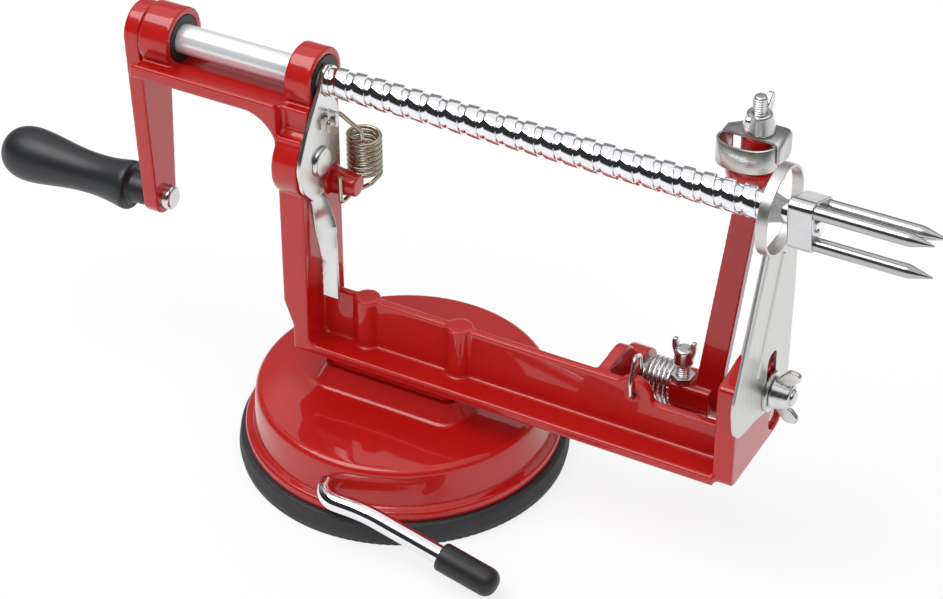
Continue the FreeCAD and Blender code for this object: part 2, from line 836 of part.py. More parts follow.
def bush(name, left, right):
    body = new_body(name)
    outer = D.ring_bore_dia / 2 - D.running_clearance
    inner = D.crest_dia / 2 + D.running_clearance
    pad(body, "YZ", left, right, Circle(0, 0, outer), Circle(0, 0, inner))
    place(body, z=D.axis_height)


# Feed shaft: plain behind, coarse screw in front, turned down for the fork's hub.

def feed_shaft():
    body = new_body("feed_shaft")
    turned(body, "XY", "H", Outline(
        (D.shaft_left, 0),
        (hub_right + D.shaft_end_stand, 0),
        (hub_right + D.shaft_end_stand, D.neck_dia / 2, 0.8),
        (neck_left, D.neck_dia / 2),
        (slicer_left, D.crest_dia / 2, 3),
        (D.screw_left, D.crest_dia / 2),
        (D.screw_left - 0.7, D.plain_dia / 2),
        (D.shaft_left, D.plain_dia / 2, 0.8),
    ))
    place(body, z=D.axis_height)


# Fork: a rounded three-cornered hub on the shaft's neck, and three pointed prongs.

def prong_angles():
    return [D.prong_phase + turn for turn in (0, 120, 240)]


def fork_hub():
    body = new_body("fork_hub")
    corner = D.prong_circle + 2 * D.hub_corner
    pad(body, "YZ", hub_left, hub_right, Outline(*[
        (corner * cosine(angle), corner * sine(angle), D.hub_corner) for angle in prong_angles()
    ]))
    pocket(body, "YZ", hub_left - 1, hub_right + 1, Circle(
        0, 0, D.neck_dia / 2 + D.fit_clearance))
    for angle in prong_angles():
        pocket(body, "YZ", hub_left + 2, hub_right + 1, Circle(
            D.prong_circle * cosine(angle), D.prong_circle * sine(angle),
            D.prong_dia / 2 + D.fit_clearance))
    place(body, z=D.axis_height)


def fork_prongs():
    body = new_body("fork_prongs")
    body.AllowCompound = True
    tip = hub_left + D.prong_length
    for angle in prong_angles():
        turned(body, "XZ", "H", Outline(
            (hub_left + 2, 0),
            (tip, 0),
            (tip, D.prong_point),
            (tip - D.prong_cone, D.prong_dia / 2, 6),
            (hub_left + 2, D.prong_dia / 2),
        ), level=D.prong_circle * cosine(angle), origin=(0, D.prong_circle * sine(angle)))
    place(body, z=D.axis_height)


# Crank arm: a flat tapered bar fixed on the shaft, hanging down to the handle bolt.

def crank_arm():
    body = new_body("crank_arm")
    left = D.crank_right - D.crank_thickness
    lean = (D.crank_hub_radius - D.crank_tip_radius) / D.crank_radius
    hub_half = D.crank_hub_radius * (1 + lean)
    tip_half = D.crank_tip_radius * (1 - lean)
    tip = -D.crank_radius - D.crank_tip_radius
    pad(body, "YZ", left, D.crank_right, Outline(
        (-hub_half, D.crank_hub_radius, D.crank_hub_radius * D.crank_roundness),
        (-tip_half, tip, D.crank_tip_radius * D.crank_roundness),
        (tip_half, tip, D.crank_tip_radius * D.crank_roundness),
        (hub_half, D.crank_hub_radius, D.crank_hub_radius * D.crank_roundness),
    ))
    pocket(body, "YZ", left - 1, D.crank_right + 1, Circle(0, 0, D.plain_dia / 2 + D.fit_clearance))
    pocket(body, "YZ", left - 1, D.crank_right + 1, Circle(
        0, -D.crank_radius, D.handle_bolt_dia / 2 + D.fit_clearance))
    place(body, z=D.axis_height)


def handle_bolt():
    body = new_body("handle_bolt")
    head = handle_right - D.handle_length - D.handle_gap
    turned(body, "XY", "H", Outline(
        (head - D.handle_bolt_head_height, 0),
        (D.crank_right + 3, 0),
        (D.crank_right + 3, D.handle_bolt_dia / 2 + 1, 1.2),
        (D.crank_right, D.handle_bolt_dia / 2 + 1),
        (D.crank_right, D.handle_bolt_dia / 2),
        (head, D.handle_bolt_dia / 2),
        (head, D.handle_bolt_head_dia / 2),
        (head - D.handle_bolt_head_height, D.handle_bolt_head_dia / 2, 1.6),
    ))
    place(body, z=D.axis_height - D.crank_radius)


# Crank handle: a waisted grip that turns freely on its bolt.

def crank_handle():
    body = new_body("crank_handle")
    right = handle_right
    left = right - D.handle_length
    bore = D.handle_bolt_dia / 2 + D.running_clearance
    turned(body, "XY", "H", Outline(
        (right, bore),
        (right, D.handle_flare_dia / 2, 1.2),
        (right - D.handle_neck_at, D.handle_neck_dia / 2, 34),
        (right - D.handle_belly_at, D.handle_belly_dia / 2, 34),
        (left, D.handle_belly_dia / 2 - 1.6, 3.5),
        (left, bore),
    ))
    place(body, z=D.axis_height - D.crank_radius)


# Feed lever: a stamped plate riveted to the post, its top edge hollowed to ride on the screw.

def feed_lever():
    body = new_body("feed_lever")
    left = D.post_right + D.lever_gap
    right = left + D.lever_thickness
    y0 = D.lever_pivot_y
    z0 = lever_pivot_z
    beside_peg = D.peg_y - D.peg_base_radius - D.lever_swing_room
    stem_top = z0 - D.stem_top_drop
    pad(body, "YZ", left, right, Outline(
        (beside_peg, stem_top),
        (beside_peg, peg_z + D.peg_base_radius - 0.7, 4),
        (y0 + 11, z0 - 4, 5),
        (y0 + 11, z0 + 14.5, 4),
        (y0 + 8.5, D.axis_height - 5.6),
        (y0 + 7.2, D.axis_height),
        (y0 + 7, D.axis_height + 6.2, 0.8),
        (y0 + 3.8, D.axis_height + 4.8, 2),
        (y0 + 0.8, D.axis_height - 0.5, 5),
        (y0 - 7, z0 + 13.5, 12),
        (y0 - 12.5, z0 + 3, 9),
        (y0 - 10.5, z0 - 6, 8),
        (beside_peg - D.stem_width, stem_top),
    ))
    # the stem turns from the lever's plane to face the user and ends in a thumb plate
    fold = D.web_top + D.stem_fold_rise
    foot = D.web_top + D.stem_foot_rise
    drop = stem_top - fold
    start_x = left + D.lever_thickness / 2
    start_y = beside_peg - D.stem_width / 2
    stem = [
        stem_section(body, start_x, start_y, stem_top + 1, 90, D.stem_width - 0.5, 0.2),
        stem_section(body, start_x, start_y, stem_top - 0.5, 90, D.stem_width - 0.3, 0.1),
        stem_section(body, start_x + 1.3, start_y + 0.3, stem_top - drop * 0.22, 68, D.stem_width),
        stem_section(body, start_x + 2.7, start_y + 0.3, stem_top - drop * 0.48, 44, D.stem_width),
        stem_section(body, start_x + 3.6, start_y, stem_top - drop * 0.76, 20, D.thumb_width),
        stem_section(body, start_x + 4.0, start_y, fold, 0, D.thumb_width),
        stem_section(body, start_x + 4.7, start_y - 1.0, foot, 0, D.thumb_width),
    ]
    feature = body.newObject("PartDesign::AdditiveLoft", "feed_lever_stem")
    feature.Profile = stem[0]
    feature.Sections = stem[1:]
    feature.Ruled = True
    # room for the screw, where it is now and as the lever swings clear of it
    for swing in (0, D.lever_release / 2, D.lever_release):
        pocket(body, "YZ", left - 1, right + 1, Circle(
            y0 - y0 * cosine(swing) + D.lever_pivot_drop * sine(swing),
            z0 + D.lever_pivot_drop * cosine(swing) + y0 * sine(swing),
            D.crest_dia / 2 + D.tooth_gap))
    pocket(body, "YZ", left - 1, right + 1, Circle(y0, z0, D.lever_hole_dia / 2))
    # ear bent forward, with a hole for the spring's upper hook
    pad(body, "YZ", right - 0.1, right + D.lug_reach, box_outline(
        D.lug_y - 0.7, lug_z - 2.6, D.lug_y + 0.7, lug_z + 2.6))
    pocket(body, "XZ", D.lug_y - 2, D.lug_y + 2, Circle(
        right + D.lug_reach - 1.6, lug_z, D.lever_spring_wire / 2 + 0.25))


def stem_section(body, x, y, level, turn, width, less=0.0):
    """The stem's cut at one level: a thin rectangle turned about its middle."""
    along = width / 2
    across = (D.lever_thickness - less) / 2
    corners = []
    for a, b in ((-1, -1), (1, -1), (1, 1), (-1, 1)):
        corners.append((
            x + a * along * cosine(turn) - b * across * sine(turn),
            y + a * along * sine(turn) + b * across * cosine(turn)))
    return sketch_on(body, "XY", level, [Outline(*corners)])


def lever_rivet():
    body = new_body("lever_rivet")
    face = D.post_right + D.lever_gap + D.lever_thickness + 0.1
    turned(body, "XZ", "H", Outline(
        (D.post_left + 1, 0),
        (face + D.rivet_head_height, 0),
        (face + D.rivet_head_height, D.rivet_head_dia / 2, D.rivet_head_height * 0.9),
        (face, D.rivet_head_dia / 2),
        (face, D.lever_hole_dia / 2 - D.running_clearance),
        (D.post_left + 1, D.lever_hole_dia / 2 - D.running_clearance),
    ))
    place(body, y=D.lever_pivot_y, z=lever_pivot_z)


# Pivot pin of the peeling arm, through bracket, spring, knuckle and end plate.

def arm_pivot_pin():
    body = new_body("arm_pivot_pin")
    right = end_right - D.end_recess_depth + 1.2
    turned(body, "XZ", "H", Outline(
        (bracket_left - 1.6, 0),
        (right, 0),
        (right, D.pivot_dia / 2, 0.6),
        (bracket_left, D.pivot_dia / 2),
        (bracket_left, D.pivot_dia / 2 + 1.5),
        (bracket_left - 1.6, D.pivot_dia / 2 + 1.5, 1),
    ))
    place(body, y=D.pivot_y, z=D.pivot_z)


# Peeling arm: a knuckle on the pivot pin, a leaning bar and a round head for the blade.

def peeling_arm():
    body = new_body("peeling_arm")
    pad(body, "YZ", knuckle_left, knuckle_right, Circle(D.pivot_y, D.pivot_z, D.knuckle_radius))
    pad(body, "YZ", knuckle_left, D.end_plate_left - D.block_setback, Outline(
        (D.block_front, block_bottom, 1.5),
        (D.pivot_y, block_bottom),
        (D.pivot_y, block_top),
        (D.block_front, block_top, 1.5),
    ))
    low_x = D.end_plate_left - D.bar_low_setback
    high_x = D.end_plate_left - D.bar_high_setback
    low_half = D.bar_width / 2
    high_half = D.bar_top_width / 2
    pad(body, "XZ", D.bar_front, D.bar_front + D.bar_thickness, Outline(
        (low_x - low_half, D.pivot_z),
        (low_x + low_half, D.pivot_z),
        (high_x + high_half, head_bottom + 3),
        (high_x - high_half, head_bottom + 3),
    ))
    turned(body, "XZ", "V", Outline(
        (0, head_bottom),
        (D.head_radius - 2, head_bottom, 1),
        (D.head_radius, head_bottom + 2, 1.5),
        (D.head_radius, head_shelf, 1.2),
        (D.head_neck_radius, head_shelf, 0.8),
        (D.head_neck_radius, head_top),
        (0, head_top),
    ), level=D.head_y, origin=(head_x, 0))
    pocket(body, "YZ", knuckle_left - 1, knuckle_right + 1, Circle(
        D.pivot_y, D.pivot_z, D.pivot_dia / 2 + D.running_clearance))
    pocket(body, "XY", D.pivot_z - D.knuckle_radius - 1, block_top + 1, Circle(
        tension_x, D.tension_y, D.tension_dia / 2 + D.running_clearance))
    pocket(body, "XY", head_shelf - 3, head_top + 1, Circle(
        head_x, D.head_y, D.blade_stud_dia / 2 + D.fit_clearance))
    hole_y, hole_z = arm_spring_hole()
    pocket(body, "YZ", knuckle_left - 1, knuckle_left + D.arm_spring_seat + 0.3, Circle(
        hole_y, hole_z, D.arm_spring_wire / 2 + 0.2))


# Peeler blade: a top plate on the arm's head and a curved band that hangs round it.

def peeler_blade():
    body = new_body("peeler_blade")
    top = head_top + D.blade_plate_thickness
    wall = D.blade_wall
    pad(body, "XY", head_top, top, Outline(
        (head_x - 9.2, D.head_y - 5.5, 1.5),
        (head_x - 5.6, D.head_y - 5.6, 6),
        (head_x + 5.6, D.head_y - 5.6, 4),
        (head_x + 8.6, D.head_y + 3.5, 2),
        (head_x + 2, D.head_y + 6, 4),
        (head_x - 6, D.head_y + 2.5, 3),
    ))
    # the band: one strip bent round the head, open above its middle
    pad(body, "XY", band_bottom, band_bottom + D.band_height, Outline(
        (head_x - 10.3, D.head_y - 7.5),
        (head_x - 5, D.head_y - 9.4, 7),
        (head_x + 3, D.head_y - 8.6, 9),
        (head_x + 8.4, D.head_y + 0.6),
        (head_x + 8.4 - wall, D.head_y + 0.9),
        (head_x + 2.6, D.head_y - 8.6 + wall, 8),
        (head_x - 4.9, D.head_y - 9.4 + wall, 6),
        (head_x - 10.1, D.head_y - 7.5 + wall),
    ))
    pad(body, "XY", band_bottom, top, Outline(
        (head_x + 7.2, D.head_y - 1.2),
        (head_x + 8.4, D.head_y - 1.2),
        (head_x + 8.6, D.head_y + 4.4),
        (head_x + 8.6 - wall, D.head_y + 4.4),
    ))
    pad(body, "XY", band_bottom, top, Outline(
        (head_x - 10.3, D.head_y - 7.5),
        (head_x - 8.6, D.head_y - 8.1),
        (head_x - 8.3, D.head_y - 5.2),
        (head_x - 9.2, D.head_y - 5.2),
    ))
    pocket(body, "XY", head_top - 1, top + 1, Circle(
        head_x, D.head_y, D.blade_stud_dia / 2 + D.fit_clearance))


def blade_stud():
    body = new_body("blade_stud")
    top = head_top + D.blade_stud_rise
    turned(body, "XZ", "V", Outline(
        (0, head_shelf - 3),
        (D.blade_stud_dia / 2, head_shelf - 3),
        (D.blade_stud_dia / 2, top, 0.8),
        (0, top),
    ))
    place(body, x=head_x, y=D.head_y)


# Wing nuts: a conical hub with two raised wings, around its own screw.

def wing_nut(name, upright, screw_dia, x, y, z):
    """An upright nut has its wings across the frame, one on its side has them up and down."""
    body = new_body(name)
    bore = screw_dia / 2 + D.running_clearance
    height = D.wing_nut_height
    hub = [
        (bore, 0),
        (D.wing_nut_hub_low, 0, 0.6),
        (D.wing_nut_hub_high, height, 0.8),
        (bore, height),
    ]
    half = D.wing_thickness / 2
    if upright:
        turned(body, "XZ", "V", Outline(*hub))
    else:
        turned(body, "XZ", "H", Outline(*turned_over(reversed(hub))))
    for side in (-1, 1):
        wing = [
            (side * (bore + 1), height * 0.15, 0.6),
            (side * (D.wing_nut_hub_low + 0.3), height * 0.15, 1),
            (side * D.wing_reach, height * 0.75, 1.8),
            (side * (D.wing_reach - 0.6), height + D.wing_rise, 1.6),
            (side * (bore + 2.2), height + 0.4, 2.4),
            (side * (bore + 1), height * 0.6),
        ]
        if upright:
            pad(body, "YZ", -half, half, Outline(*wing))
        else:
            pad(body, "XZ", -half, half, Outline(*turned_over(wing)))
    place(body, x=x, y=y, z=z)


def turned_over(corners):
    """The corners of an outline with their two axes exchanged."""
    return [tuple([corner[1], corner[0], *corner[2:]]) for corner in corners]


def slicer_stack():
    """The faces along the slicer bolt: blade, washer and nut."""
    return slicer_right, slicer_right + D.washer_thickness


def slicer_washer():
    body = new_body("slicer_washer")
    washer, nut = slicer_stack()
    pad(body, "YZ", washer, nut, Circle(0, 0, D.washer_dia / 2), Circle(
        0, 0, D.slicer_bolt_dia / 2 + D.fit_clearance))
    place(body, y=D.slicer_bolt_y, z=D.slicer_bolt_z)


def slicer_bolt():
    body = new_body("slicer_bolt")
    head = D.end_plate_left
    end = slicer_left + D.slicer_bolt_reach
    turned(body, "XY", "H", Outline(
        (head - D.slicer_bolt_head_height, 0),
        (end, 0),
        (end, D.slicer_bolt_dia / 2, 0.8),
        (head, D.slicer_bolt_dia / 2),
        (head, D.slicer_bolt_head_dia / 2),
        (head - D.slicer_bolt_head_height, D.slicer_bolt_head_dia / 2, 1.5),
    ))
    place(body, y=D.slicer_bolt_y, z=D.slicer_bolt_z)


# Corer and slicer blade: a slotted plate on the end plate with a ring round the shaft line.

def corer_blade():
    body = new_body("corer_blade")
    foot = D.axis_height - D.corer_outer_radius
    rise = foot - D.slicer_bolt_z
    middle = D.slicer_bolt_z
    pad(body, "YZ", slicer_left, slicer_right, Outline(
        (-4.0, foot + 1.2),
        (-14.5, middle + rise * 0.52, 40),
        (-21.5, middle + rise * 0.2, 9),
        (-18.5, middle - 2.5, 8),
        (-3, middle - 4.5, 20),
        (14, middle - 9.5, 6),
        (20.5, middle - 4, 6),
        (21.3, middle + rise * 0.5, 60),
        (20.3, middle + rise * 0.86, 4),
        (13, middle + rise * 0.95, 5),
        (5, foot + 1.2),
    ))
    pad(body, "YZ", slicer_left + 0.5, slicer_left + 0.5 + D.corer_length, Circle(
        0, D.axis_height, D.corer_outer_radius), Circle(
        0, D.axis_height, D.corer_outer_radius - D.corer_wall))
    half_slot = D.slicer_bolt_dia / 2 + 0.9
    pocket(body, "YZ", slicer_left - 1, slicer_right + 1, Outline(
        (D.slicer_bolt_y - half_slot, D.slicer_bolt_z - half_slot, 3),
        (D.slicer_bolt_y + half_slot, D.slicer_bolt_z - half_slot, 3),
        (D.slicer_bolt_y + half_slot, D.slicer_bolt_z + 14, 3),
        (D.slicer_bolt_y - half_slot, D.slicer_bolt_z + 14, 3),
    ))


# Tension screw: stands on the frame's lug and sets how far in the arm comes.

def tension_screw():
    body = new_body("tension_screw")
    turned(body, "XZ", "V", Outline(
        (0, tension_foot),
        (D.tension_dia / 2, tension_foot, 0.6),
        (D.tension_dia / 2, tension_head_low),
        (3.2, tension_head_low, 0.8),
        (2.8, tension_head_high, 0.8),
        (0, tension_head_high),
    ))
    reach = D.tension_wing_reach
    wing_top = tension_head_low + D.tension_wing_height
    for side in (-1, 1):
        pad(body, "XZ", -0.8, 0.8, Outline(
            (side * 1.2, tension_head_low + 2),
            (side * (reach - 1), tension_head_low + 2),
            (side * reach, tension_head_high, 1.5),
            (side * reach, wing_top, 0.6),
            (side * (reach - 1.4), wing_top, 0.6),
            (side * 1.2, tension_head_high - 0.6),
        ))
    place(body, x=tension_x, y=D.tension_y)


def tension_collar():
    body = new_body("tension_collar")
    corner = D.tension_collar_width / 2 / cosine(30)
    pad(body, "XY", 0, D.tension_collar_height, Outline(*[
        (corner * cosine(angle), corner * sine(angle)) for angle in range(30, 390, 60)
    ]), Circle(0, 0, D.tension_dia / 2 + D.running_clearance))
    place(body, x=tension_x, y=D.tension_y, z=block_top)


# Coil springs: round wire bent to a route of straight runs, arcs and turns

WIRE_SIDES = 6
STEPS_PER_TURN = 4


def arc_edge(start, corner, end):
    """The arc from start to end whose tangents meet at the corner."""
    middle = (start + end) / 2
    cosine_half = (end - start).Length / 2 / (corner - start).Length
    top = middle + (corner - middle) * (cosine_half / (1 + cosine_half))
    return Part.Arc(start, top, end).toShape()


def bent_edges(points, radius):
    """Straight runs through the points, with an arc of one radius at each inner point."""
    edges = []
    last = points[0]
    for before, corner, after in zip(points, points[1:], points[2:]):
        into = (corner - before).normalize()
        out = (after - corner).normalize()
        reach = radius * math.tan(into.getAngle(out) / 2)
        start = corner - into * reach
        end = corner + out * reach
        edges.append(Part.LineSegment(last, start).toShape())
        edges.append(arc_edge(start, corner, end))
        last = end
    edges.append(Part.LineSegment(last, points[-1]).toShape())
    return edges


def biarc_edges(start, out, end, into):
    """Two arcs that leave start along one direction and reach end along another."""
    across = end - start
    both = out + into
    a = both.dot(both) - 4
    b = -2 * across.dot(both)
    c = across.dot(across)
    reach = (-b - math.sqrt(b * b - 4 * a * c)) / (2 * a)
    if reach < 0:
        reach = (-b + math.sqrt(b * b - 4 * a * c)) / (2 * a)
    first = start + out * reach
    second = end - into * reach
    joint = (first + second) / 2
    return [arc_edge(start, first, joint), arc_edge(joint, second, end)]


def turn_edges(helix, turns):
    """The turns of a helix, a quarter turn at a time. helix(t) gives its point and direction."""
    edges = []
    steps = round(turns * STEPS_PER_TURN)
    for step in range(steps):
        start, out = helix(step / STEPS_PER_TURN)
        end, into = helix((step + 1) / STEPS_PER_TURN)
        edges += biarc_edges(start, out, end, into)
    return edges


def least_gap(edges, wire):
    """The least gap between stretches of the wire that aren't neighbours along it."""
    points = []
    for edge in edges:
        points += edge.discretize(max(3, int(edge.Length / 0.4)))[:-1]
    walked = [0.0]
    for before, after in zip(points, points[1:]):
        walked.append(walked[-1] + (after - before).Length)
    gap = math.inf
    for i, point in enumerate(points):
        for k in range(i + 1, len(points)):
            if walked[k] - walked[i] > wire * 4:
                gap = min(gap, (points[k] - point).Length - wire)
    return gap


def spring(name, edges, wire):
    path = Part.Wire(edges)
    start = edges[0].valueAt(edges[0].FirstParameter)
    along = edges[0].tangentAt(edges[0].FirstParameter)
    frame = FreeCAD.Rotation(Vector(0, 0, 1), along)
    corners = []
    for side in range(WIRE_SIDES + 1):
        angle = 2 * math.pi * side / WIRE_SIDES
        spoke = Vector(math.cos(angle), math.sin(angle), 0) * (wire / 2)
        corners.append(start + frame.multVec(spoke))
    feature = doc.addObject("Part::Feature", name)
    feature.Label = name
    feature.Shape = path.makePipeShell([Part.makePolygon(corners)], True, False)
    print(f"{name}: least gap between turns {least_gap(edges, wire):.2f} mm")


def lever_spring():
    wire = D.lever_spring_wire.value
    turn_radius = (D.lever_spring_dia.value - wire) / 2
    pitch = D.lever_spring_pitch.value
    turns = D.lever_spring_turns.value
    x0, y0, low = D.lever_spring_x.value, D.lever_spring_y.value, (peg_z - D.lever_spring_drop).value

    def helix(turn):
        angle = 2 * math.pi * turn
        point = Vector(math.cos(angle), math.sin(angle), 0) * turn_radius
        point += Vector(x0, y0, low + pitch * turn)
        along = Vector(-math.sin(angle), math.cos(angle), pitch / (2 * math.pi * turn_radius))
        return point, along.normalize()

    # the lower hook goes under the peg, the upper one through the lever's ear
    taper = (D.peg_base_radius - D.peg_tip_radius) / (D.peg_end - D.post_right + 1)
    peg_radius = D.peg_tip_radius + taper * (D.peg_end - D.lever_spring_x)
    hook = peg_radius.value + wire / 2 + 0.15
    peg_y, peg_height = D.peg_y.value, peg_z.value
    start, out = helix(0)
    end, last = helix(turns)
    slant = hook * math.sqrt(0.5)
    under = Part.Arc(Vector(x0, peg_y - hook, peg_height),
                     Vector(x0, peg_y - slant, peg_height - slant),
                     Vector(x0, peg_y, peg_height - hook)).toShape()
    tip = Part.LineSegment(Vector(x0, peg_y - hook, peg_height + 4 * wire),
                           Vector(x0, peg_y - hook, peg_height)).toShape()
    rise = bent_edges([
        Vector(x0, peg_y, peg_height - hook),
        Vector(x0, peg_y + 3.0, peg_height - hook),
        start - out * 4.2,
        start,
    ], 1.8)
    ear_x = D.post_right.value + D.lever_gap.value + D.lever_thickness.value + D.lug_reach.value - 1.6
    lug_y, ear_z = D.lug_y.value, lug_z.value
    top = bent_edges([
        end,
        end + last * 2.2,
        end + last * 2.2 + Vector(0, -0.4, 3.3),
        Vector(ear_x, lug_y + 3.6, ear_z),
        Vector(ear_x, lug_y - 3.0, ear_z),
        Vector(ear_x, lug_y - 3.0, ear_z - 3.2),
    ], 1.1)
    spring("feed_lever_spring", [tip, under, *rise, *turn_edges(helix, turns), *top], wire)


def arm_spring():
    wire = D.arm_spring_wire.value
    turn_radius = (D.arm_spring_dia.value - wire) / 2
    pitch = D.arm_spring_pitch.value
    turns = D.arm_spring_turns.value
    x0 = (D.end_plate_left - D.arm_spring_setback).value
    y0, z0 = D.pivot_y.value, D.pivot_z.value

    def helix(turn):
        angle = math.pi / 2 - 2 * math.pi * turn
        point = Vector(0, math.cos(angle), math.sin(angle)) * turn_radius
        point += Vector(x0 + pitch * turn, y0, z0)
        along = Vector(pitch / (2 * math.pi * turn_radius), math.sin(angle), -math.cos(angle))
        return point, along.normalize()

    # one leg goes through the web's lug, the other into the arm's knuckle
    start, out = helix(0)
    end, last = helix(turns)
    lug_x, hole_z = spring_lug_x.value, D.spring_lug_height.value
    front = D.web_front.value - 2 * wire
    leg = bent_edges([
        Vector(lug_x, front, hole_z),
        Vector(lug_x, 2.0, hole_z),
        start - out * 8,
        start,
    ], 5.0)
    bend = D.arm_spring_bend.value
    seat = (knuckle_left + D.arm_spring_seat).value
    corner = end + last * (bend + wire)
    tail = bent_edges([end, corner, Vector(seat, corner.y, corner.z)], bend)
    spring("arm_torsion_spring", [*leg, *turn_edges(helix, turns), *tail], wire)


def arm_spring_hole():
    """Y and Z of the hole in the knuckle for the spring's end."""
    turn_radius = (D.arm_spring_dia - D.arm_spring_wire) / 2
    return D.pivot_y - turn_radius, D.pivot_z + D.arm_spring_bend + D.arm_spring_wire


frame_casting()
base_screws()
suction_cover()
suction_pad()
pull_stud()
suction_lever()
lever_cap()
bush("rear_bush", D.rear_ring_left, D.rear_ring_right)
bush("front_bush", D.front_ring_left, D.front_ring_right)
feed_shaft()
fork_hub()
fork_prongs()
crank_arm()
handle_bolt()
crank_handle()
feed_lever()
lever_rivet()
arm_pivot_pin()
peeling_arm()
peeler_blade()
blade_stud()
wing_nut("blade_wing_nut", True, D.blade_stud_dia, head_x, D.head_y, head_top + D.blade_plate_thickness)
slicer_washer()
slicer_bolt()
wing_nut("slicer_wing_nut", False, D.slicer_bolt_dia, slicer_stack()[1], D.slicer_bolt_y, D.slicer_bolt_z)
corer_blade()
tension_screw()
tension_collar()
lever_spring()
arm_spring()

# Recompute, test every object and write one STEP file per sub-part

doc.recompute()
failed = []
for thing in doc.Objects:
    if "Invalid" in thing.State or "Error" in thing.State:
        failed.append(thing.Label)
nodes = [thing for thing in doc.Objects if thing.isDerivedFrom("PartDesign::Body")]
nodes += [thing for thing in doc.Objects if thing.TypeId == "Part::Feature"]
for node in nodes:
    if node.Shape.isNull() or not node.Shape.isValid():
        failed.append(node.Label)
if failed:
    raise RuntimeError(f"these did not build: {failed}")
os.makedirs("parts", exist_ok=True)
for node in nodes:
    node.Shape.exportStep(os.path.join("parts", f"{node.Label}.step"))
print(f"{len(nodes)} sub-parts written")
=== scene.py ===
# Hand cranked apple peeler, corer and slicer on a suction base.
# Metres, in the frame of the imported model: X along the shaft, Y away from the user, Z up.

import json
import math

import bmesh
import bpy
from mathutils import Matrix, Vector

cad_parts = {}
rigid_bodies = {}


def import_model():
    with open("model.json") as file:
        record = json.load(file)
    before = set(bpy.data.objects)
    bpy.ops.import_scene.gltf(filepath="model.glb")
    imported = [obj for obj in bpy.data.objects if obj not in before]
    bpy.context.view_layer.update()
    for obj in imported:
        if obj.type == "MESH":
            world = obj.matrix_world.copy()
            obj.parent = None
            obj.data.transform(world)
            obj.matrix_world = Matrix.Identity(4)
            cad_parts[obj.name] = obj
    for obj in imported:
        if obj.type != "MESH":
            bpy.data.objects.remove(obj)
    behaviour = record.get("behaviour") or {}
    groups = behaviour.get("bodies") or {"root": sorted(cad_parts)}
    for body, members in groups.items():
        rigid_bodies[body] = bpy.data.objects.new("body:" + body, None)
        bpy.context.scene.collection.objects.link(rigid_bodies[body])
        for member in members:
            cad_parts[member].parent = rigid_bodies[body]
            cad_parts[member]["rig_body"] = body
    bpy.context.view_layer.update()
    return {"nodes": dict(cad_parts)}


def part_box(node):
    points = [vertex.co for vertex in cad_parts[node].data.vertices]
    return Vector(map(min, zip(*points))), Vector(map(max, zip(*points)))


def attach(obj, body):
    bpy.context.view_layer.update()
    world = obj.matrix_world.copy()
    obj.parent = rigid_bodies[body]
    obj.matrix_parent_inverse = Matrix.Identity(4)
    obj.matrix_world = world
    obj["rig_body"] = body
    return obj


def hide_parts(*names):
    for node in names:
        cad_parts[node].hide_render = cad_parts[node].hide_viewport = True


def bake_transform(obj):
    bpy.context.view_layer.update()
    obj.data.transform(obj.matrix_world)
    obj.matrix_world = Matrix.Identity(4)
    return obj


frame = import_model()
MM = 0.001


# Frame casting
# One zinc die casting that carries the shaft, the peeling arm and the slicer blade. It is
# coated in thick glossy red enamel, which rounds its edges and fills its inner corners.

class Signal:
    """A socket among some nodes. Arithmetic on it adds Math nodes."""

    def __init__(self, nodes, socket):
        self.nodes = nodes
        self.socket = socket

    def math(self, operation, first, second):
        return self.nodes.node("ShaderNodeMath", {"operation": operation}, {0: first, 1: second})

    def __add__(self, other):
        return self.math("ADD", self, other)

    def __radd__(self, other):
        return self.math("ADD", other, self)

    def __sub__(self, other):
        return self.math("SUBTRACT", self, other)

    def __rsub__(self, other):
        return self.math("SUBTRACT", other, self)

    def __mul__(self, other):
        return self.math("MULTIPLY", self, other)

    def __rmul__(self, other):
        return self.math("MULTIPLY", other, self)


class Nodes:
    """The nodes of a finish or of the surround."""

    def __init__(self, tree):
        self.tree = tree

    def node(self, kind, settings=None, inputs=None, out=0):
        """A new node: its settings come first, then the values or links of its sockets."""
        made = self.tree.nodes.new(kind)
        for name, value in (settings or {}).items():
            if name == "stops":
                # a ramp starts with its two end stops, so only the ones between are new
                for position, _ in value[1:-1]:
                    made.color_ramp.elements.new(position)
                for element, (_, shade) in zip(made.color_ramp.elements, value):
                    element.color = shade
            else:
                setattr(made, name, value)
        for name, value in (inputs or {}).items():
            self.feed(made.inputs[name], value)
        return Signal(self, made.outputs[out])

    def feed(self, socket, value):
        if isinstance(value, Signal):
            self.tree.links.new(value.socket, socket)
        else:
            socket.default_value = value


class Finish(Nodes):
    """A material of one surface, with Object coordinates at hand as place."""

    def __init__(self, name):
        self.material = bpy.data.materials.new(name)
        self.material.use_nodes = True
        super().__init__(self.material.node_tree)
        self.shader = self.tree.nodes["Principled BSDF"]
        self.place = self.node("ShaderNodeTexCoord", out="Object")

    def set(self, **values):
        """Set the shader's sockets: base_color is Base Color, and so on."""
        for name, value in values.items():
            socket = name.replace("_", " ").title().replace("Ior", "IOR")
            self.feed(self.shader.inputs[socket], value)

    def noise(self, scale, detail=2.0, stretch=(1, 1, 1)):
        """Noise with about scale spots a metre, drawn out along an axis by a small stretch."""
        place = self.node("ShaderNodeMapping", None, {"Vector": self.place, "Scale": stretch})
        return self.node("ShaderNodeTexNoise", None, {
            "Vector": place, "Scale": scale, "Detail": detail}, out="Fac")

    def tint(self, share, dark, light):
        """A colour between two, by a share from 0 to 1."""
        return self.node("ShaderNodeMix", {"data_type": "RGBA"}, {
            0: share, 6: (*dark, 1), 7: (*light, 1)}, out=2)

    def bump(self, height, depth):
        """Relief of a depth in metres."""
        self.set(normal=self.node("ShaderNodeBump", None, {"Height": height, "Distance": depth}))


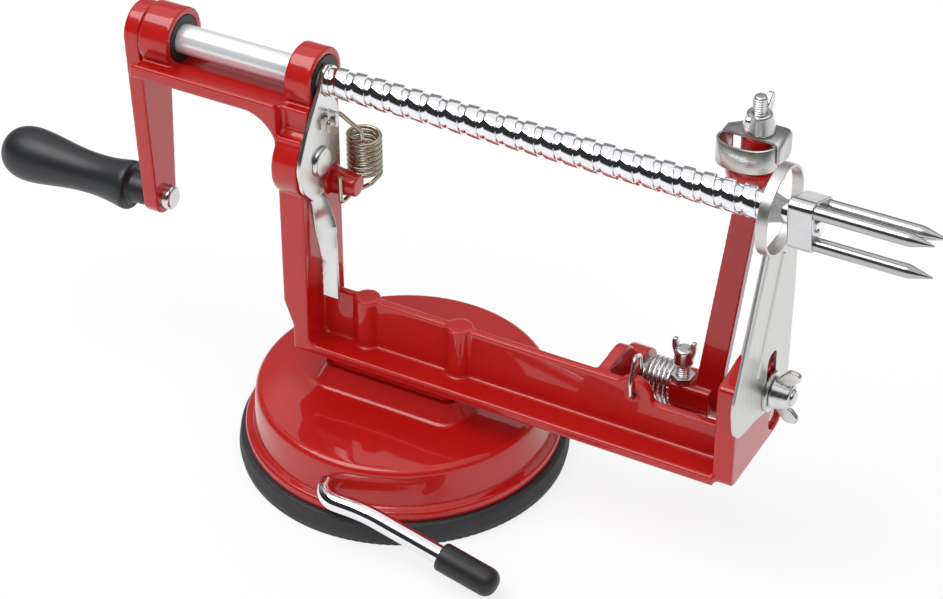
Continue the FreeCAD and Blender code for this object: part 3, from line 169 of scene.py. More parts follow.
def red_enamel():
    """Deep red under a clear gloss, a little uneven where the coat flowed."""
    finish = Finish("red_enamel")
    finish.set(
        base_color=finish.tint(finish.noise(60), (0.40, 0.0045, 0.003), (0.48, 0.006, 0.004)),
        roughness=0.3 + 0.1 * finish.noise(220),
        specular_ior_level=0.2,
        coat_weight=0.9,
        coat_roughness=0.04,
    )
    finish.bump(finish.noise(180, 1.0), 0.008 * MM)
    return finish.material


def show(name, data):
    """A new object in the scene."""
    piece = bpy.data.objects.new(name, data)
    bpy.context.scene.collection.objects.link(piece)
    return piece


def mesh_of(bm, name):
    """A mesh of what a bmesh holds."""
    mesh = bpy.data.meshes.new(name)
    bm.to_mesh(mesh)
    bm.free()
    return mesh


weld = 0.002 * MM


def cad_copy(node, name, round_over=0.0, merge=True):
    """A welded copy of a CAD node with smooth faces, its edges rounded over by a radius."""
    corner_angle = math.radians(35)
    nearly_flat = math.radians(0.5)
    bm = bmesh.new()
    bm.from_mesh(frame["nodes"][node].data)
    bmesh.ops.remove_doubles(bm, verts=bm.verts, dist=weld)
    if merge:
        bmesh.ops.dissolve_limit(bm, angle_limit=nearly_flat, verts=bm.verts, edges=bm.edges)
    mesh = mesh_of(bm, name)
    for layer in ("custom_normal", "sharp_face", "sharp_edge"):
        if layer in mesh.attributes:
            mesh.attributes.remove(mesh.attributes[layer])
    mesh.shade_smooth()
    piece = show(name, mesh)
    if round_over:
        edge = piece.modifiers.new("rounded", "BEVEL")
        edge.limit_method = "ANGLE"
        edge.angle_limit = corner_angle
        edge.width = round_over
        edge.segments = 3
        edge.use_clamp_overlap = False
        edge.miter_outer = "MITER_ARC"
        shine = piece.modifiers.new("even_shine", "WEIGHTED_NORMAL")
        shine.keep_sharp = False
    else:
        mesh.set_sharp_from_angle(angle=corner_angle)
    return piece


def shaped(rough):
    """A mesh piece of what a rough object with its modifiers, or a curve, comes to."""
    if rough.name not in bpy.context.scene.collection.objects:
        bpy.context.scene.collection.objects.link(rough)
    view = bpy.context.evaluated_depsgraph_get()
    mesh = bpy.data.meshes.new_from_object(rough.evaluated_get(view))
    name = rough.name.removesuffix("_rough")
    bpy.data.objects.remove(rough)
    mesh.shade_smooth()
    return show(name, mesh)


def cast_skin(node, name, grain, passes, share):
    """A copy of a casting or a stamping with its edges rounded and its inner corners filled:
    a skin of a grain, smoothed in so many passes, that keeps a share of its faces."""
    rough = cad_copy(node, name + "_rough", merge=False)
    skin = rough.modifiers.new("skin", "REMESH")
    skin.mode = "VOXEL"
    skin.voxel_size = grain
    flow = rough.modifiers.new("flow", "SMOOTH")
    flow.iterations = passes
    thin = rough.modifiers.new("thin", "DECIMATE")
    thin.ratio = share
    return shaped(rough)


def dress(piece, node, material):
    """Let a piece stand for a CAD node and its finish."""
    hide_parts(node)
    piece.data.materials.clear()
    piece.data.materials.append(material)


def fit(piece, node, material):
    """Dress a piece, and let it ride on the node's body."""
    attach(piece, frame["nodes"][node]["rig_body"])
    dress(piece, node, material)


enamel = red_enamel()
casting = cast_skin("frame_casting", "casting", 0.45 * MM, passes=7, share=0.5)
fit(casting, "frame_casting", enamel)


# Suction base
# A red enamelled cover over a black rubber disc. The lever's eccentric pulls the disc's
# middle up by the stud, and the two screws that hold the frame sit inside the cover.

def rubber():
    """Matt black rubber with a fine grain."""
    finish = Finish("pad_rubber")
    finish.set(
        base_color=finish.tint(finish.noise(90), (0.018, 0.019, 0.020), (0.032, 0.033, 0.035)),
        roughness=0.52 + 0.2 * finish.noise(500),
    )
    finish.bump(finish.noise(1500), 0.03 * MM)
    return finish.material


def zinc_plate():
    """Bright zinc, slightly cloudy."""
    finish = Finish("zinc_plate")
    finish.set(
        base_color=finish.tint(finish.noise(300), (0.58, 0.59, 0.58), (0.80, 0.80, 0.78)),
        metallic=1.0,
        roughness=0.16 + 0.16 * finish.noise(420),
    )
    finish.bump(finish.noise(900), 0.01 * MM)
    return finish.material


zinc = zinc_plate()
fit(cad_copy("suction_cover", "cover"), "suction_cover", enamel)
fit(cad_copy("suction_pad", "pad"), "suction_pad", rubber())
fit(cad_copy("base_screws", "frame_screws", 0.3 * MM), "base_screws", zinc)
fit(cad_copy("pull_stud", "stud"), "pull_stud", zinc)


# Suction lever
# A chromed steel rod that comes out of the cover and bends down beside it, with a black
# plastic sleeve on its end.

def bright_chrome():
    """Mirror chrome with a faint haze."""
    finish = Finish("bright_chrome")
    finish.set(
        base_color=(0.86, 0.87, 0.89, 1),
        metallic=1.0,
        roughness=0.04 + 0.05 * finish.noise(150),
    )
    return finish.material


def black_plastic():
    """Moulded black plastic with a fine grain."""
    finish = Finish("black_plastic")
    finish.set(
        base_color=finish.tint(finish.noise(120), (0.010, 0.010, 0.011), (0.018, 0.018, 0.020)),
        roughness=0.38 + 0.1 * finish.noise(700),
    )
    finish.bump(finish.noise(2500), 0.02 * MM)
    return finish.material


plastic = black_plastic()
fit(cad_copy("suction_lever", "lever_rod"), "suction_lever", bright_chrome())
fit(cad_copy("lever_cap", "rod_cap"), "lever_cap", plastic)


# Feed shaft
# A chromed steel bar in two black plastic bushes. It is plain behind, has a coarse square
# screw in front that the feed lever's edge rides in, and is turned down at its ends for the
# crank and the fork.

def turned_piece(outline):
    """A closed turning about the X axis from (x, radius) points."""
    sides = 64
    bm = bmesh.new()
    points = [bm.verts.new((x, radius, 0)) for x, radius in outline]
    edges = [bm.edges.new(pair) for pair in zip(points, points[1:])]
    bmesh.ops.spin(bm, geom=points + edges, axis=(1, 0, 0), cent=(0, 0, 0),
                   angle=2 * math.pi, steps=sides, use_merge=True)
    bmesh.ops.remove_doubles(bm, verts=bm.verts, dist=weld)
    bmesh.ops.recalc_face_normals(bm, faces=bm.faces)
    return bm


def screw_sweep(outline, pitch, passes, start, end, steps):
    """A screw about the X axis: one pitch of (x, radius) points, swept from start to end in
    steps a turn. The outline's middle passes a place along the axis at an angle."""
    place, angle = passes
    first = start - 1.5 * pitch
    turns = math.ceil((end - start) / pitch) + 2
    bm = bmesh.new()
    points = [bm.verts.new((first + x, radius, 0)) for x, radius in outline]
    edges = [bm.edges.new(pair) for pair in zip(points, points[1:])]
    turn = Matrix.Rotation(angle + 2 * math.pi * (first - place) / pitch, 4, "X")
    bmesh.ops.transform(bm, matrix=turn, verts=points)
    bmesh.ops.spin(bm, geom=points + edges, axis=(1, 0, 0), cent=(0, 0, 0),
                   angle=2 * math.pi * turns, steps=steps * turns,
                   dvec=(pitch / steps, 0, 0))
    bmesh.ops.remove_doubles(bm, verts=bm.verts, dist=weld)
    # both ends are cut square and closed
    for level, side in ((start, -1), (end, 1)):
        bmesh.ops.bisect_plane(bm, geom=bm.verts[:] + bm.edges[:] + bm.faces[:],
                               plane_co=(level, 0, 0), plane_no=(side, 0, 0), clear_outer=True)
        rim = [edge for edge in bm.edges if edge.is_boundary
               and all(abs(vert.co.x - level) < weld for vert in edge.verts)]
        bmesh.ops.edgeloop_fill(bm, edges=rim)
    bmesh.ops.recalc_face_normals(bm, faces=bm.faces)
    return bm


def piece_from(parts, name, line, sharp):
    """One object of several parts about the X axis, moved to a line, with its corners sharp
    from so many degrees."""
    mesh = bpy.data.meshes.new(name)
    whole = bmesh.new()
    for part in parts:
        part.to_mesh(mesh)
        part.free()
        whole.from_mesh(mesh)
    bmesh.ops.translate(whole, verts=whole.verts, vec=line)
    whole.to_mesh(mesh)
    whole.free()
    mesh.shade_smooth()
    mesh.set_sharp_from_angle(angle=math.radians(sharp))
    return show(name, mesh)


def centre(node):
    """The middle of a CAD node's box."""
    low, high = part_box(node)
    return (low + high) / 2


shaft_low, shaft_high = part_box("feed_shaft")
shaft_line = (0, 0, centre("feed_shaft").z)
crank_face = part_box("crank_arm")[1].x + 0.2 * MM
screw_left = -24 * MM
screw_right = 121 * MM
screw_pitch = 6.35 * MM
half_pitch = screw_pitch / 2
half_groove = 1.27 * MM
# a place along the shaft, and the angle from Y towards Z that the groove's middle has there
groove_passes = (-10.35 * MM, math.radians(57.7))
# radii of the screw, the plain bar and the two turned down ends
crest = 4.8 * MM
root = 4.1 * MM
plain = 4.7 * MM
crank_end = 4.1 * MM
fork_end = 3.5 * MM
fork_taper = 3.5 * MM
end_break = 0.5 * MM
step_break = 0.4 * MM
# the plain parts reach into the screw's ends, a little under its crest
overlap = 0.2 * MM
under = 0.1 * MM


def shaft_chrome():
    """Mirror chrome on the screw, and the duller ground bar behind it."""
    finish = Finish("shaft_chrome")
    along = finish.node("ShaderNodeSeparateXYZ", None, {0: finish.place})
    bar = finish.node("ShaderNodeMapRange", None, {
        "Value": along, "From Min": screw_left + 0.1 * MM, "From Max": screw_left - 0.1 * MM})
    finish.set(
        base_color=(0.87, 0.88, 0.90, 1),
        metallic=1.0 - 0.55 * bar,
        roughness=0.04 + 0.05 * finish.noise(150) + 0.18 * bar,
    )
    return finish.material


# half a turn's outline, from the groove's floor over its flank to the middle of the crest
flank = (
    (half_groove - 0.2 * MM, root), (half_groove - 0.06 * MM, root + 0.1 * MM),
    (half_groove, crest - 0.2 * MM), (half_groove + 0.06 * MM, crest - 0.06 * MM),
    (half_groove + 0.25 * MM, crest), (half_pitch, crest),
)
thread = [(-x, radius) for x, radius in reversed(flank)] + list(flank)
screw = screw_sweep(thread, screw_pitch, groove_passes, screw_left, screw_right, 64)
behind = turned_piece([
    (shaft_low.x, 0), (shaft_low.x, crank_end - end_break),
    (shaft_low.x + end_break, crank_end), (crank_face, crank_end),
    (crank_face, plain - step_break), (crank_face + step_break, plain),
    (screw_left - overlap, plain), (screw_left - overlap / 2, crest - under),
    (screw_left + overlap, crest - under), (screw_left + overlap, 0),
])
ahead = turned_piece([
    (screw_right - overlap, 0), (screw_right - overlap, crest - under),
    (screw_right + step_break, crest - 3 * under), (screw_right + fork_taper, fork_end),
    (shaft_high.x - end_break, fork_end), (shaft_high.x, fork_end - end_break),
    (shaft_high.x, 0),
])
shaft = piece_from([screw, behind, ahead], "shaft", shaft_line, 40)
fit(shaft, "feed_shaft", shaft_chrome())
for node in ("rear_bush", "front_bush"):
    fit(cad_copy(node, node + "_lining", 0.2 * MM), node, plastic)


# Fork
# Three steel prongs, ground to points, are pressed into a hub. The hub is a bright plated
# casting, fixed on the end of the shaft.

def polished_steel():
    """Steel ground along the prongs."""
    finish = Finish("polished_steel")
    finish.set(
        base_color=(0.50, 0.50, 0.49, 1),
        metallic=1.0,
        roughness=0.14 + 0.16 * finish.noise(500, 2.0, (0.05, 1, 1)),
    )
    return finish.material


def plated_hub():
    """Bright plating over a slightly uneven casting."""
    finish = Finish("plated_hub")
    finish.set(
        base_color=finish.tint(finish.noise(220), (0.60, 0.60, 0.61), (0.72, 0.72, 0.73)),
        metallic=1.0,
        roughness=0.1 + 0.12 * finish.noise(320),
    )
    finish.bump(finish.noise(420, 1.0), 0.02 * MM)
    return finish.material


hub = cast_skin("fork_hub", "hub", 0.22 * MM, passes=5, share=1.0)
fit(hub, "fork_hub", plated_hub())
fit(cad_copy("fork_prongs", "prongs"), "fork_prongs", polished_steel())


# Crank
# A red enamelled cast arm fixed on the shaft, and a moulded black grip that turns on a
# headed bolt in the arm's other end.

def satin_grip():
    """Satin black plastic with a fine grain."""
    finish = Finish("black_handle")
    finish.set(
        base_color=finish.tint(finish.noise(70), (0.012, 0.013, 0.015), (0.020, 0.021, 0.024)),
        roughness=0.34 + 0.12 * finish.noise(400),
    )
    finish.bump(finish.noise(1800), 0.03 * MM)
    return finish.material


crank = cast_skin("crank_arm", "crank", 0.32 * MM, passes=12, share=0.5)
fit(crank, "crank_arm", enamel)
fit(cad_copy("handle_bolt", "grip_bolt"), "handle_bolt", zinc)
grip_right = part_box("crank_handle")[1].x
grip_line = (0, 0, centre("crank_handle").z)
bolt_bore = 3.3
bolt_head_bore = 5.4
# (x, radius) in millimetres, from the collar at the arm over the flare, the neck and the
# belly to the rounded end, and back along the bore
grip_form = (
    (0, bolt_bore), (0, 4.6), (-0.4, 5.0), (-7.2, 5.0), (-7.2, 6.9), (-6.9, 7.6), (-7.3, 8.1),
    (-8.4, 8.25), (-10, 8.0), (-14, 7.25), (-19, 6.75), (-25, 6.75), (-31, 7.3), (-37, 8.2),
    (-42, 8.95), (-46.5, 9.3), (-50, 9.05), (-53, 8.1), (-55.3, 6.5), (-56.9, 4.2),
    (-57.6, 1.9), (-57.8, 0),
)
grip_bore = (
    (-55.2, 0), (-55.2, bolt_head_bore), (-51.6, bolt_head_bore), (-51.6, bolt_bore),
    (0, bolt_bore),
)
grip_outline = [(grip_right + x * MM, radius * MM) for x, radius in grip_form + grip_bore]
grip = piece_from([turned_piece(grip_outline)], "grip", grip_line, 50)
smooth = grip.modifiers.new("smooth", "SUBSURF")
smooth.levels = smooth.render_levels = 1
fit(grip, "crank_handle", satin_grip())


# Feed lever
# A nickelled steel stamping that tips on a rivet in the post. A spring from a peg on the
# post to the lever's ear pulls its edge into the screw.

def spring_nickel():
    """Yellowish plating on drawn wire."""
    finish = Finish("spring_nickel")
    finish.set(
        base_color=finish.tint(finish.noise(700), (0.42, 0.36, 0.26), (0.62, 0.56, 0.44)),
        metallic=1.0,
        roughness=0.2 + 0.12 * finish.noise(900),
    )
    return finish.material


def tumbled_nickel():
    """Nickel on a tumbled stamping, with soft dull clouds."""
    finish = Finish("tumbled_nickel")
    finish.set(
        base_color=finish.tint(finish.noise(120), (0.66, 0.67, 0.66), (0.80, 0.80, 0.79)),
        metallic=1.0,
        roughness=0.2 + 0.1 * finish.noise(160),
    )
    finish.bump(finish.noise(160, 1.0), 0.012 * MM)
    return finish.material


def mm(x, y, z):
    """A place or a step, given in millimetres."""
    return Vector((x, y, z)) * MM


def smooth_line(name, points):
    """A curve near its points, which starts and ends on them."""
    line = bpy.data.curves.new(name, "CURVE")
    line.dimensions = "3D"
    spline = line.splines.new("NURBS")
    spline.points.add(len(points) - 1)
    for place, point in zip(spline.points, points):
        place.co = (*point, 1)
    spline.order_u = 4
    spline.use_endpoint_u = True
    return line


def wire(name, points, diameter):
    """Round wire along a smooth line."""
    line = smooth_line(name, points)
    line.bevel_depth = diameter / 2
    line.bevel_resolution = 4
    line.resolution_u = 3
    line.use_fill_caps = True
    return shaped(bpy.data.objects.new(name, line))


def bend_step(side, reach):
    """A step of a reach along a side, but short of its middle."""
    return side.normalized() * min(reach, side.length / 2.2)


def bends(corners, reach):
    """Points that take a wire round its inner corners, each in a bend of about one reach."""
    end_share = 0.4
    points = [corners[0], corners[0].lerp(corners[1], end_share)]
    for before, corner, after in zip(corners, corners[1:], corners[2:]):
        points.append(corner + bend_step(before - corner, reach))
        points.append(corner)
        points.append(corner + bend_step(after - corner, reach))
    return points + [corners[-1].lerp(corners[-2], end_share), corners[-1]]


def coil(low, radius, pitch, turns, along, across):
    """Points of a coil's turns, which start on the side of across and wind along."""
    steps = 14
    third = along.cross(across)
    # the points of a smooth line lie outside the circle that it runs on
    spread = radius * 3 / (2 + math.cos(2 * math.pi / steps))
    points = []
    for step in range(round(turns * steps) + 1):
        angle = 2 * math.pi * step / steps
        points.append(low + along * (pitch * step / steps)
                      + (across * math.cos(angle) + third * math.sin(angle)) * spread)
    return points


nickel = tumbled_nickel()
follower_lever = cast_skin("feed_lever", "follower_lever", 0.22 * MM, passes=4, share=1.0)
fit(follower_lever, "feed_lever", nickel)
fit(cad_copy("lever_rivet", "rivet"), "lever_rivet", nickel)
pull_wire = 1.4 * MM
pull_radius = 5.0 * MM
pull_pitch = 1.85 * MM
pull_turns = 7.75
pull_foot = mm(-19.8, 12.2, 90.9)
peg = mm(-19.8, 2, 92.5)
ear = mm(-22.1, -1.8, 117.5)
# the lower hook goes round the peg and comes up to the coil's first turn
first_side = pull_foot + Vector((pull_radius, 0, 0))
lower_hook = bends([
    peg + mm(0, -4.68, 4.8), peg + mm(0, -4.68, -4.0), peg + mm(0, -3.2, -4.9),
    peg + mm(0, 3.2, -4.9), first_side + mm(0, -4.4, -0.2), first_side + mm(0, -1.2, 0),
], 1.5 * MM)
pull_coil = coil(pull_foot, pull_radius, pull_pitch, pull_turns,
                 along=Vector((0, 0, 1)), across=Vector((1, 0, 0)))
# the upper hook leaves the last turn, comes through the ear and turns down in front of it
pull_top = mm(-19.8, 7.2, 105.24)
upper_hook = bends([
    pull_top + mm(1.0, 0, 0.3), pull_top + mm(2.3, -0.1, 1.0), pull_top + mm(2.2, -0.4, 4.2),
    ear + mm(0, 3.6, 0), ear + mm(0, -3.0, 0), ear + mm(0, -3.0, -3.2),
], 1.0 * MM)
pull_spring = wire("pull_spring", lower_hook + pull_coil + upper_hook, pull_wire)
# its foot stays on the frame's peg while its upper hook goes with the lever's ear
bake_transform(pull_spring)
dress(pull_spring, "feed_lever_spring", spring_nickel())


# Peeling arm
# A red cast arm that swings on a pin behind the rail, held in by a torsion spring. A wing
# screw with a lock nut sets how far in it comes.

def spring_steel():
    """Bright drawn wire."""
    finish = Finish("spring_steel")
    finish.set(
        base_color=(0.72, 0.72, 0.71, 1),
        metallic=1.0,
        roughness=0.14 + 0.1 * finish.noise(900),
    )
    return finish.material


arm = cast_skin("peeling_arm", "arm", 0.3 * MM, passes=12, share=0.5)
fit(arm, "peeling_arm", enamel)
fit(cad_copy("arm_pivot_pin", "arm_pin"), "arm_pivot_pin", zinc)
torsion_wire = 1.3 * MM
torsion_radius = 6.7 * MM
torsion_pitch = 1.62 * MM
torsion_turns = 5.75
pin = centre("arm_pivot_pin")
first_turn = Vector((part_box("arm_pivot_pin")[0].x + 9.7 * MM, pin.y, pin.z))
lug_hole = mm(83, -7.4, 52.5)
# one leg comes out of the lug's hole and goes over the web, down to the first turn
web_leg = bends([
    lug_hole + mm(0, 5.4, 0.3), lug_hole, lug_hole + mm(-0.3, 0.1, 5.0),
    mm(81.9, -2.5, 64.4), mm(80.4, 4.5, 60), mm(78.4, 10, 50.6),
    first_turn + Vector((0, 0, torsion_radius)) + mm(0, -1.5, 0.1),
], 2.5 * MM)
torsion_coil = coil(first_turn, torsion_radius, torsion_pitch, torsion_turns,
                    along=Vector((1, 0, 0)), across=Vector((0, 0, 1)))
# the other leg leaves the last turn and points into the arm's knuckle
last_turn = first_turn + Vector((9.3 * MM, -torsion_radius, 0))
arm_leg = bends([
    last_turn + mm(0, 0, 0.8), last_turn + mm(0.1, 0, 2.9), last_turn + mm(3.3, 0, 2.9),
], 1.2 * MM)
torsion_spring = wire("torsion_spring", web_leg + torsion_coil + arm_leg, torsion_wire)
fit(torsion_spring, "arm_torsion_spring", spring_steel())
fit(cad_copy("tension_screw", "stop_screw", 0.3 * MM), "tension_screw", zinc)
fit(cad_copy("tension_collar", "stop_nut", 0.3 * MM), "tension_collar", zinc)

fine_pitch = 0.8 * MM
fine_depth = 0.3 * MM
fine_height = 0.16 * MM


def fine_thread(name, line, start, end, radius, upright=True):
    """A fine thread that stands a little proud of its bolt, from start to end along it."""
    ridge = [(-fine_pitch / 2, radius - fine_depth), (0, radius + fine_height),
             (fine_pitch / 2, radius - fine_depth)]
    bm = screw_sweep(ridge, fine_pitch, (start, math.pi), start, end, 24)
    if upright:
        bmesh.ops.rotate(bm, verts=bm.verts, matrix=Matrix.Rotation(math.radians(-90), 3, "Y"))
    return piece_from([bm], name, line, 25)


stop = centre("tension_collar")
in_collar = 0.3 * MM
wing_height = 8.4 * MM
stop_thread = fine_thread(
    "stop_thread", (stop.x, stop.y, 0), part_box("tension_collar")[1].z - in_collar,
    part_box("tension_screw")[1].z - wing_height, radius=2 * MM)
fit(stop_thread, "tension_screw", zinc)


# Peeler blade
# A stamped stainless plate on the arm's head, with a cutting strip that loops round in
# front of it. A stud and a wing nut hold it.

def brushed_steel():
    """Stainless sheet, brushed upright."""
    finish = Finish("blade_steel")
    brush = finish.noise(900, 3.0, (1, 1, 0.03))
    finish.set(
        base_color=finish.tint(brush, (0.60, 0.60, 0.58), (0.74, 0.74, 0.72)),
        metallic=1.0,
        roughness=0.26 + 0.16 * brush,
    )
    finish.bump(brush, 0.01 * MM)
    return finish.material


blade_steel = brushed_steel()
sheet = 0.9 * MM
blade_low, blade_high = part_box("peeler_blade")
stud = centre("blade_stud")


def drawn_out(bm, edges, way):
    """Faces from a row of edges, drawn out along a way."""
    grown = bmesh.ops.extrude_edge_only(bm, edges=edges)["geom"]
    corners = [item for item in grown if isinstance(item, bmesh.types.BMVert)]
    bmesh.ops.translate(bm, vec=way, verts=corners)


def sheet_piece(name, bm):
    """A bent piece of the blade's sheet, its edges broken."""
    rough = bpy.data.objects.new(name + "_rough", mesh_of(bm, name + "_rough"))
    wall = rough.modifiers.new("wall", "SOLIDIFY")
    wall.thickness = sheet
    wall.offset = 0
    edge = rough.modifiers.new("broken_edges", "BEVEL")
    edge.width = 0.25 * MM
    edge.segments = 2
    edge.angle_limit = math.radians(50)
    shine = rough.modifiers.new("even_shine", "WEIGHTED_NORMAL")
    shine.keep_sharp = False
    return shaped(rough)


def cap_plate():
    """The plate on the head: flat, then bent down in a flange on its right."""
    level = blade_high.z - sheet / 2
    foot = blade_low.z + 0.8 * MM
    left = stud.x - 9.4 * MM
    right = stud.x + 8.2 * MM
    front = stud.y - 4.6 * MM
    depth = 9.6 * MM
    bend = 1.6 * MM
    bend_steps = 6
    line = [(left, level), (stud.x, level)]
    for step in range(bend_steps + 1):
        angle = math.pi / 2 * (1 - step / bend_steps)
        line.append((right - bend + bend * math.cos(angle), level - bend + bend * math.sin(angle)))
    line.append((right, foot))
    bm = bmesh.new()
    points = [bm.verts.new((x, front, z)) for x, z in line]
    edges = [bm.edges.new(pair) for pair in zip(points, points[1:])]
    drawn_out(bm, edges, (0, depth, 0))
    # the corners are cut off: two at the left behind, and two at the flange's foot
    for corner, outward in (
        ((left, stud.y - 0.5 * MM, 0), (-1, 1.1, 0)),
        ((stud.x - 4.5 * MM, stud.y + 3.6 * MM, 0), (-0.5, 1.5, 0)),
        ((right, front, foot + 2.0 * MM), (0, -1, -1)),
        ((right, front + depth, foot + 1.6 * MM), (0, 1, -1)),
    ):
        bmesh.ops.bisect_plane(bm, geom=bm.verts[:] + bm.edges[:] + bm.faces[:],
                               plane_co=corner, plane_no=outward, clear_outer=True)
    return sheet_piece("cap", bm)


def band():
    """The cutting strip: it loops from under the plate's left end round the front."""
    height = 8.0 * MM
    # (x, y) in millimetres from the stud
    loop = ((-7.0, -1.6), (-8.6, -1.8), (-10.2, -3.0), (-10.4, -6.6), (-7.6, -9.2),
            (-3.0, -10.0), (2.0, -9.6), (6.0, -7.2), (7.2, -4.4), (7.4, -2.6))
    foot = Vector((stud.x, stud.y, blade_low.z))
    line = smooth_line("strip_line", [foot + mm(x, y, 0) for x, y in loop])
    line.resolution_u = 6
    path = shaped(bpy.data.objects.new("strip_path", line))
    bm = bmesh.new()
    bm.from_mesh(path.data)
    bpy.data.objects.remove(path)
    drawn_out(bm, bm.edges[:], (0, 0, height))
    return sheet_piece("strip", bm)


for piece in (cap_plate(), band()):
    fit(piece, "peeler_blade", blade_steel)
fit(cad_copy("blade_stud", "clamp_stud"), "blade_stud", zinc)
fit(cad_copy("blade_wing_nut", "clamp_wing_nut", 0.4 * MM), "blade_wing_nut", zinc)
# the thread shows from just inside the nut's hub to just short of the stud's end
in_nut = 5.8 * MM
bare_end = 0.7 * MM
stud_thread = fine_thread(
    "stud_thread", (stud.x, stud.y, 0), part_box("blade_wing_nut")[0].z + in_nut,
    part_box("blade_stud")[1].z - bare_end, radius=2 * MM)
fit(stud_thread, "blade_stud", zinc)


# Corer and slicer blade
# A slotted stainless plate with a ring round the shaft and two pressed ridges that stiffen
# it. A bolt, a washer and a wing nut clamp it to the end plate.

fit(cad_copy("corer_blade", "slicer", 0.2 * MM), "corer_blade", blade_steel)
# a ridge is round, and most of it is sunk in the plate
plate = 1.0 * MM
ridge_round = 2.6 * MM
ridge_sunk = 0.8 * MM
ridge_middle = Vector((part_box("corer_blade")[0].x + plate - ridge_sunk, 0, 0))
ridge_steps = 5
for name, head, foot in (
    ("left_ridge", mm(0, -1.5, 114.5), mm(0, -13.2, 86.0)),
    ("right_ridge", mm(0, 9.5, 108.5), mm(0, -4.0, 72.0)),
):
    line = [ridge_middle + head.lerp(foot, step / ridge_steps) for step in range(ridge_steps + 1)]
    fit(wire(name, line, ridge_round), "corer_blade", blade_steel)
fit(cad_copy("slicer_washer", "washer", 0.25 * MM), "slicer_washer", zinc)
fit(cad_copy("slicer_bolt", "clamp_bolt"), "slicer_bolt", zinc)
fit(cad_copy("slicer_wing_nut", "slicer_nut", 0.4 * MM), "slicer_wing_nut", zinc)
bolt = centre("slicer_bolt")
bolt_thread = fine_thread(
    "bolt_thread", (0, bolt.y, bolt.z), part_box("slicer_wing_nut")[0].x + in_nut,
    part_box("slicer_bolt")[1].x - bare_end, radius=2.5 * MM, upright=False)
fit(bolt_thread, "slicer_bolt", zinc)


# Studio
# A plain white floor and surround, with one large soft lamp above and two weaker ones at
# the side and the back, which gloss doesn't show.

def greys(*stops):
    """A ramp's stops from (position, grey) pairs, a trace cooler than grey."""
    return [(position, (grey, grey, grey * 1.01, 1)) for position, grey in stops]


def surround():
    """Pale even light. The camera sees white, and gloss sees a studio that is dark in front
    up to the ceiling lamp, with a grey wall behind."""
    world = bpy.data.worlds.new("surround")
    bpy.context.scene.world = world
    world.use_nodes = True
    room = Nodes(world.node_tree)
    sky = room.tree.nodes["Background"]
    room.feed(sky.inputs["Color"], (0.55, 0.56, 0.58, 1))
    way = room.node("ShaderNodeTexCoord", out="Generated")
    height = room.node("ShaderNodeMapRange", None, {
        "Value": room.node("ShaderNodeSeparateXYZ", None, {0: way}, out="Z"), "From Min": -1.0})
    depth = room.node("ShaderNodeMapRange", None, {
        "Value": room.node("ShaderNodeSeparateXYZ", None, {0: way}, out="Y"),
        "From Min": -0.15, "From Max": 0.25})
    in_front = room.node("ShaderNodeValToRGB", {"stops": greys(
        (0.0, 0.8), (0.5, 0.03), (0.85, 0.03), (0.90, 1.0), (1.0, 1.0))}, {0: height})
    behind_it = room.node("ShaderNodeValToRGB", {"stops": greys(
        (0.0, 0.8), (0.5, 0.22), (0.80, 0.32), (0.815, 0.95), (1.0, 1.0))}, {0: height})
    walls = room.node("ShaderNodeMix", {"data_type": "RGBA"}, {
        0: depth, 6: in_front, 7: behind_it}, out=2)
    light = Signal(room, sky.outputs[0])
    white = room.node("ShaderNodeBackground", None, {"Color": (1, 1, 1, 1)})
    mirrored = room.node("ShaderNodeBackground", None, {"Color": walls})
    by_camera = room.node("ShaderNodeLightPath", out="Is Camera Ray")
    by_gloss = room.node("ShaderNodeLightPath", out="Is Glossy Ray")
    seen = room.node("ShaderNodeMixShader", None, {0: by_camera, 1: light, 2: white})
    seen = room.node("ShaderNodeMixShader", None, {0: by_gloss, 1: seen, 2: mirrored})
    room.feed(room.tree.nodes["World Output"].inputs["Surface"], seen)


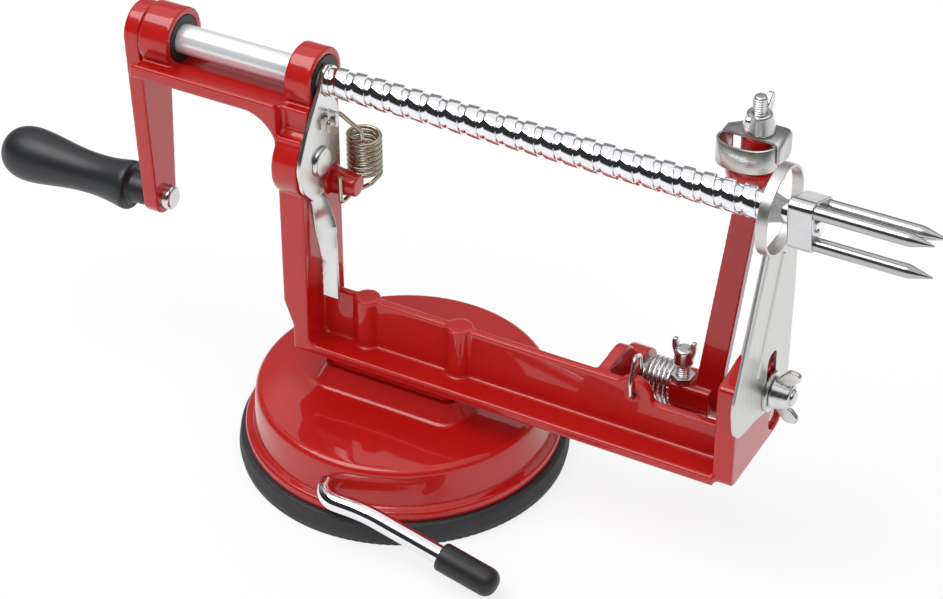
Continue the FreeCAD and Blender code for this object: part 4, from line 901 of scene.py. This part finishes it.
def floor():
    """Nearly white to the camera, so that the shadow is faint, and dim in gloss far out."""
    bm = bmesh.new()
    bmesh.ops.create_grid(bm, x_segments=1, y_segments=1, size=6)
    piece = show("floor", mesh_of(bm, "floor"))
    finish = Finish("floor_white")
    finish.set(base_color=(0.9, 0.9, 0.9, 1), roughness=0.9, specular_ior_level=0.1)
    glow = finish.node("ShaderNodeEmission", None, {"Color": (1, 1, 1, 1), "Strength": 1.0})
    by_camera = finish.node("ShaderNodeLightPath", out="Is Camera Ray")
    by_gloss = finish.node("ShaderNodeLightPath", out="Is Glossy Ray")
    far = finish.node("ShaderNodeVectorMath", {"operation": "LENGTH"}, {
        0: finish.place}, out="Value")
    near = finish.node("ShaderNodeMapRange", None, {
        "Value": far, "From Min": 0.9, "From Max": 1.3, "To Min": 0.6, "To Max": 0.02})
    lit = Signal(finish, finish.shader.outputs[0])
    mixed = finish.node("ShaderNodeMixShader", None, {
        0: 0.8 * by_camera + near * by_gloss, 1: lit, 2: glow})
    finish.feed(finish.tree.nodes["Material Output"].inputs["Surface"], mixed)
    piece.data.materials.append(finish.material)


def lamp(name, place, aim, size, power):
    """A rectangular lamp at a place, turned to what it lights."""
    light = bpy.data.lights.new(name, "AREA")
    light.shape = "RECTANGLE"
    light.size, light.size_y = size
    light.energy = power
    lit = show(name, light)
    lit.location = place
    lit.rotation_euler = (Vector(aim) - Vector(place)).to_track_quat("-Z", "Y").to_euler()
    return lit


surround()
floor()
peeler_middle = (0.02, 0, 0.08)
lamp("key", (-0.35, -0.35, 1.1), peeler_middle, (0.9, 0.7), 8)
lamp("side", (0.9, -0.5, 0.5), peeler_middle, (0.5, 0.6), 2.5).visible_glossy = False
lamp("back", (-0.2, 0.9, 0.7), peeler_middle, (0.9, 0.4), 3).visible_glossy = False
bpy.context.scene.view_settings.view_transform = "Standard"


# Camera
# It stands in front to the right, 0.9 m away, and looks down on the peeler through a long
# lens, as in a catalogue picture.

azimuth = math.radians(28.365)
elevation = math.radians(35.723)
across = -21.661 * MM
raised = -45.586 * MM
away = 904.126 * MM
right = Vector((math.cos(azimuth), math.sin(azimuth), 0))
look = Vector((-math.sin(azimuth) * math.cos(elevation),
               math.cos(azimuth) * math.cos(elevation), -math.sin(elevation)))
up = right.cross(look)
lens = bpy.data.cameras.new("camera")
lens.lens = 105.9
lens.sensor_width = 36.0
lens.clip_start = 0.01
lens.clip_end = 30
camera = show("camera", lens)
camera.matrix_world = Matrix((right, up, -look)).transposed().to_4x4()
camera.location = -(right * across + up * raised + look * away)
bpy.context.scene.camera = camera
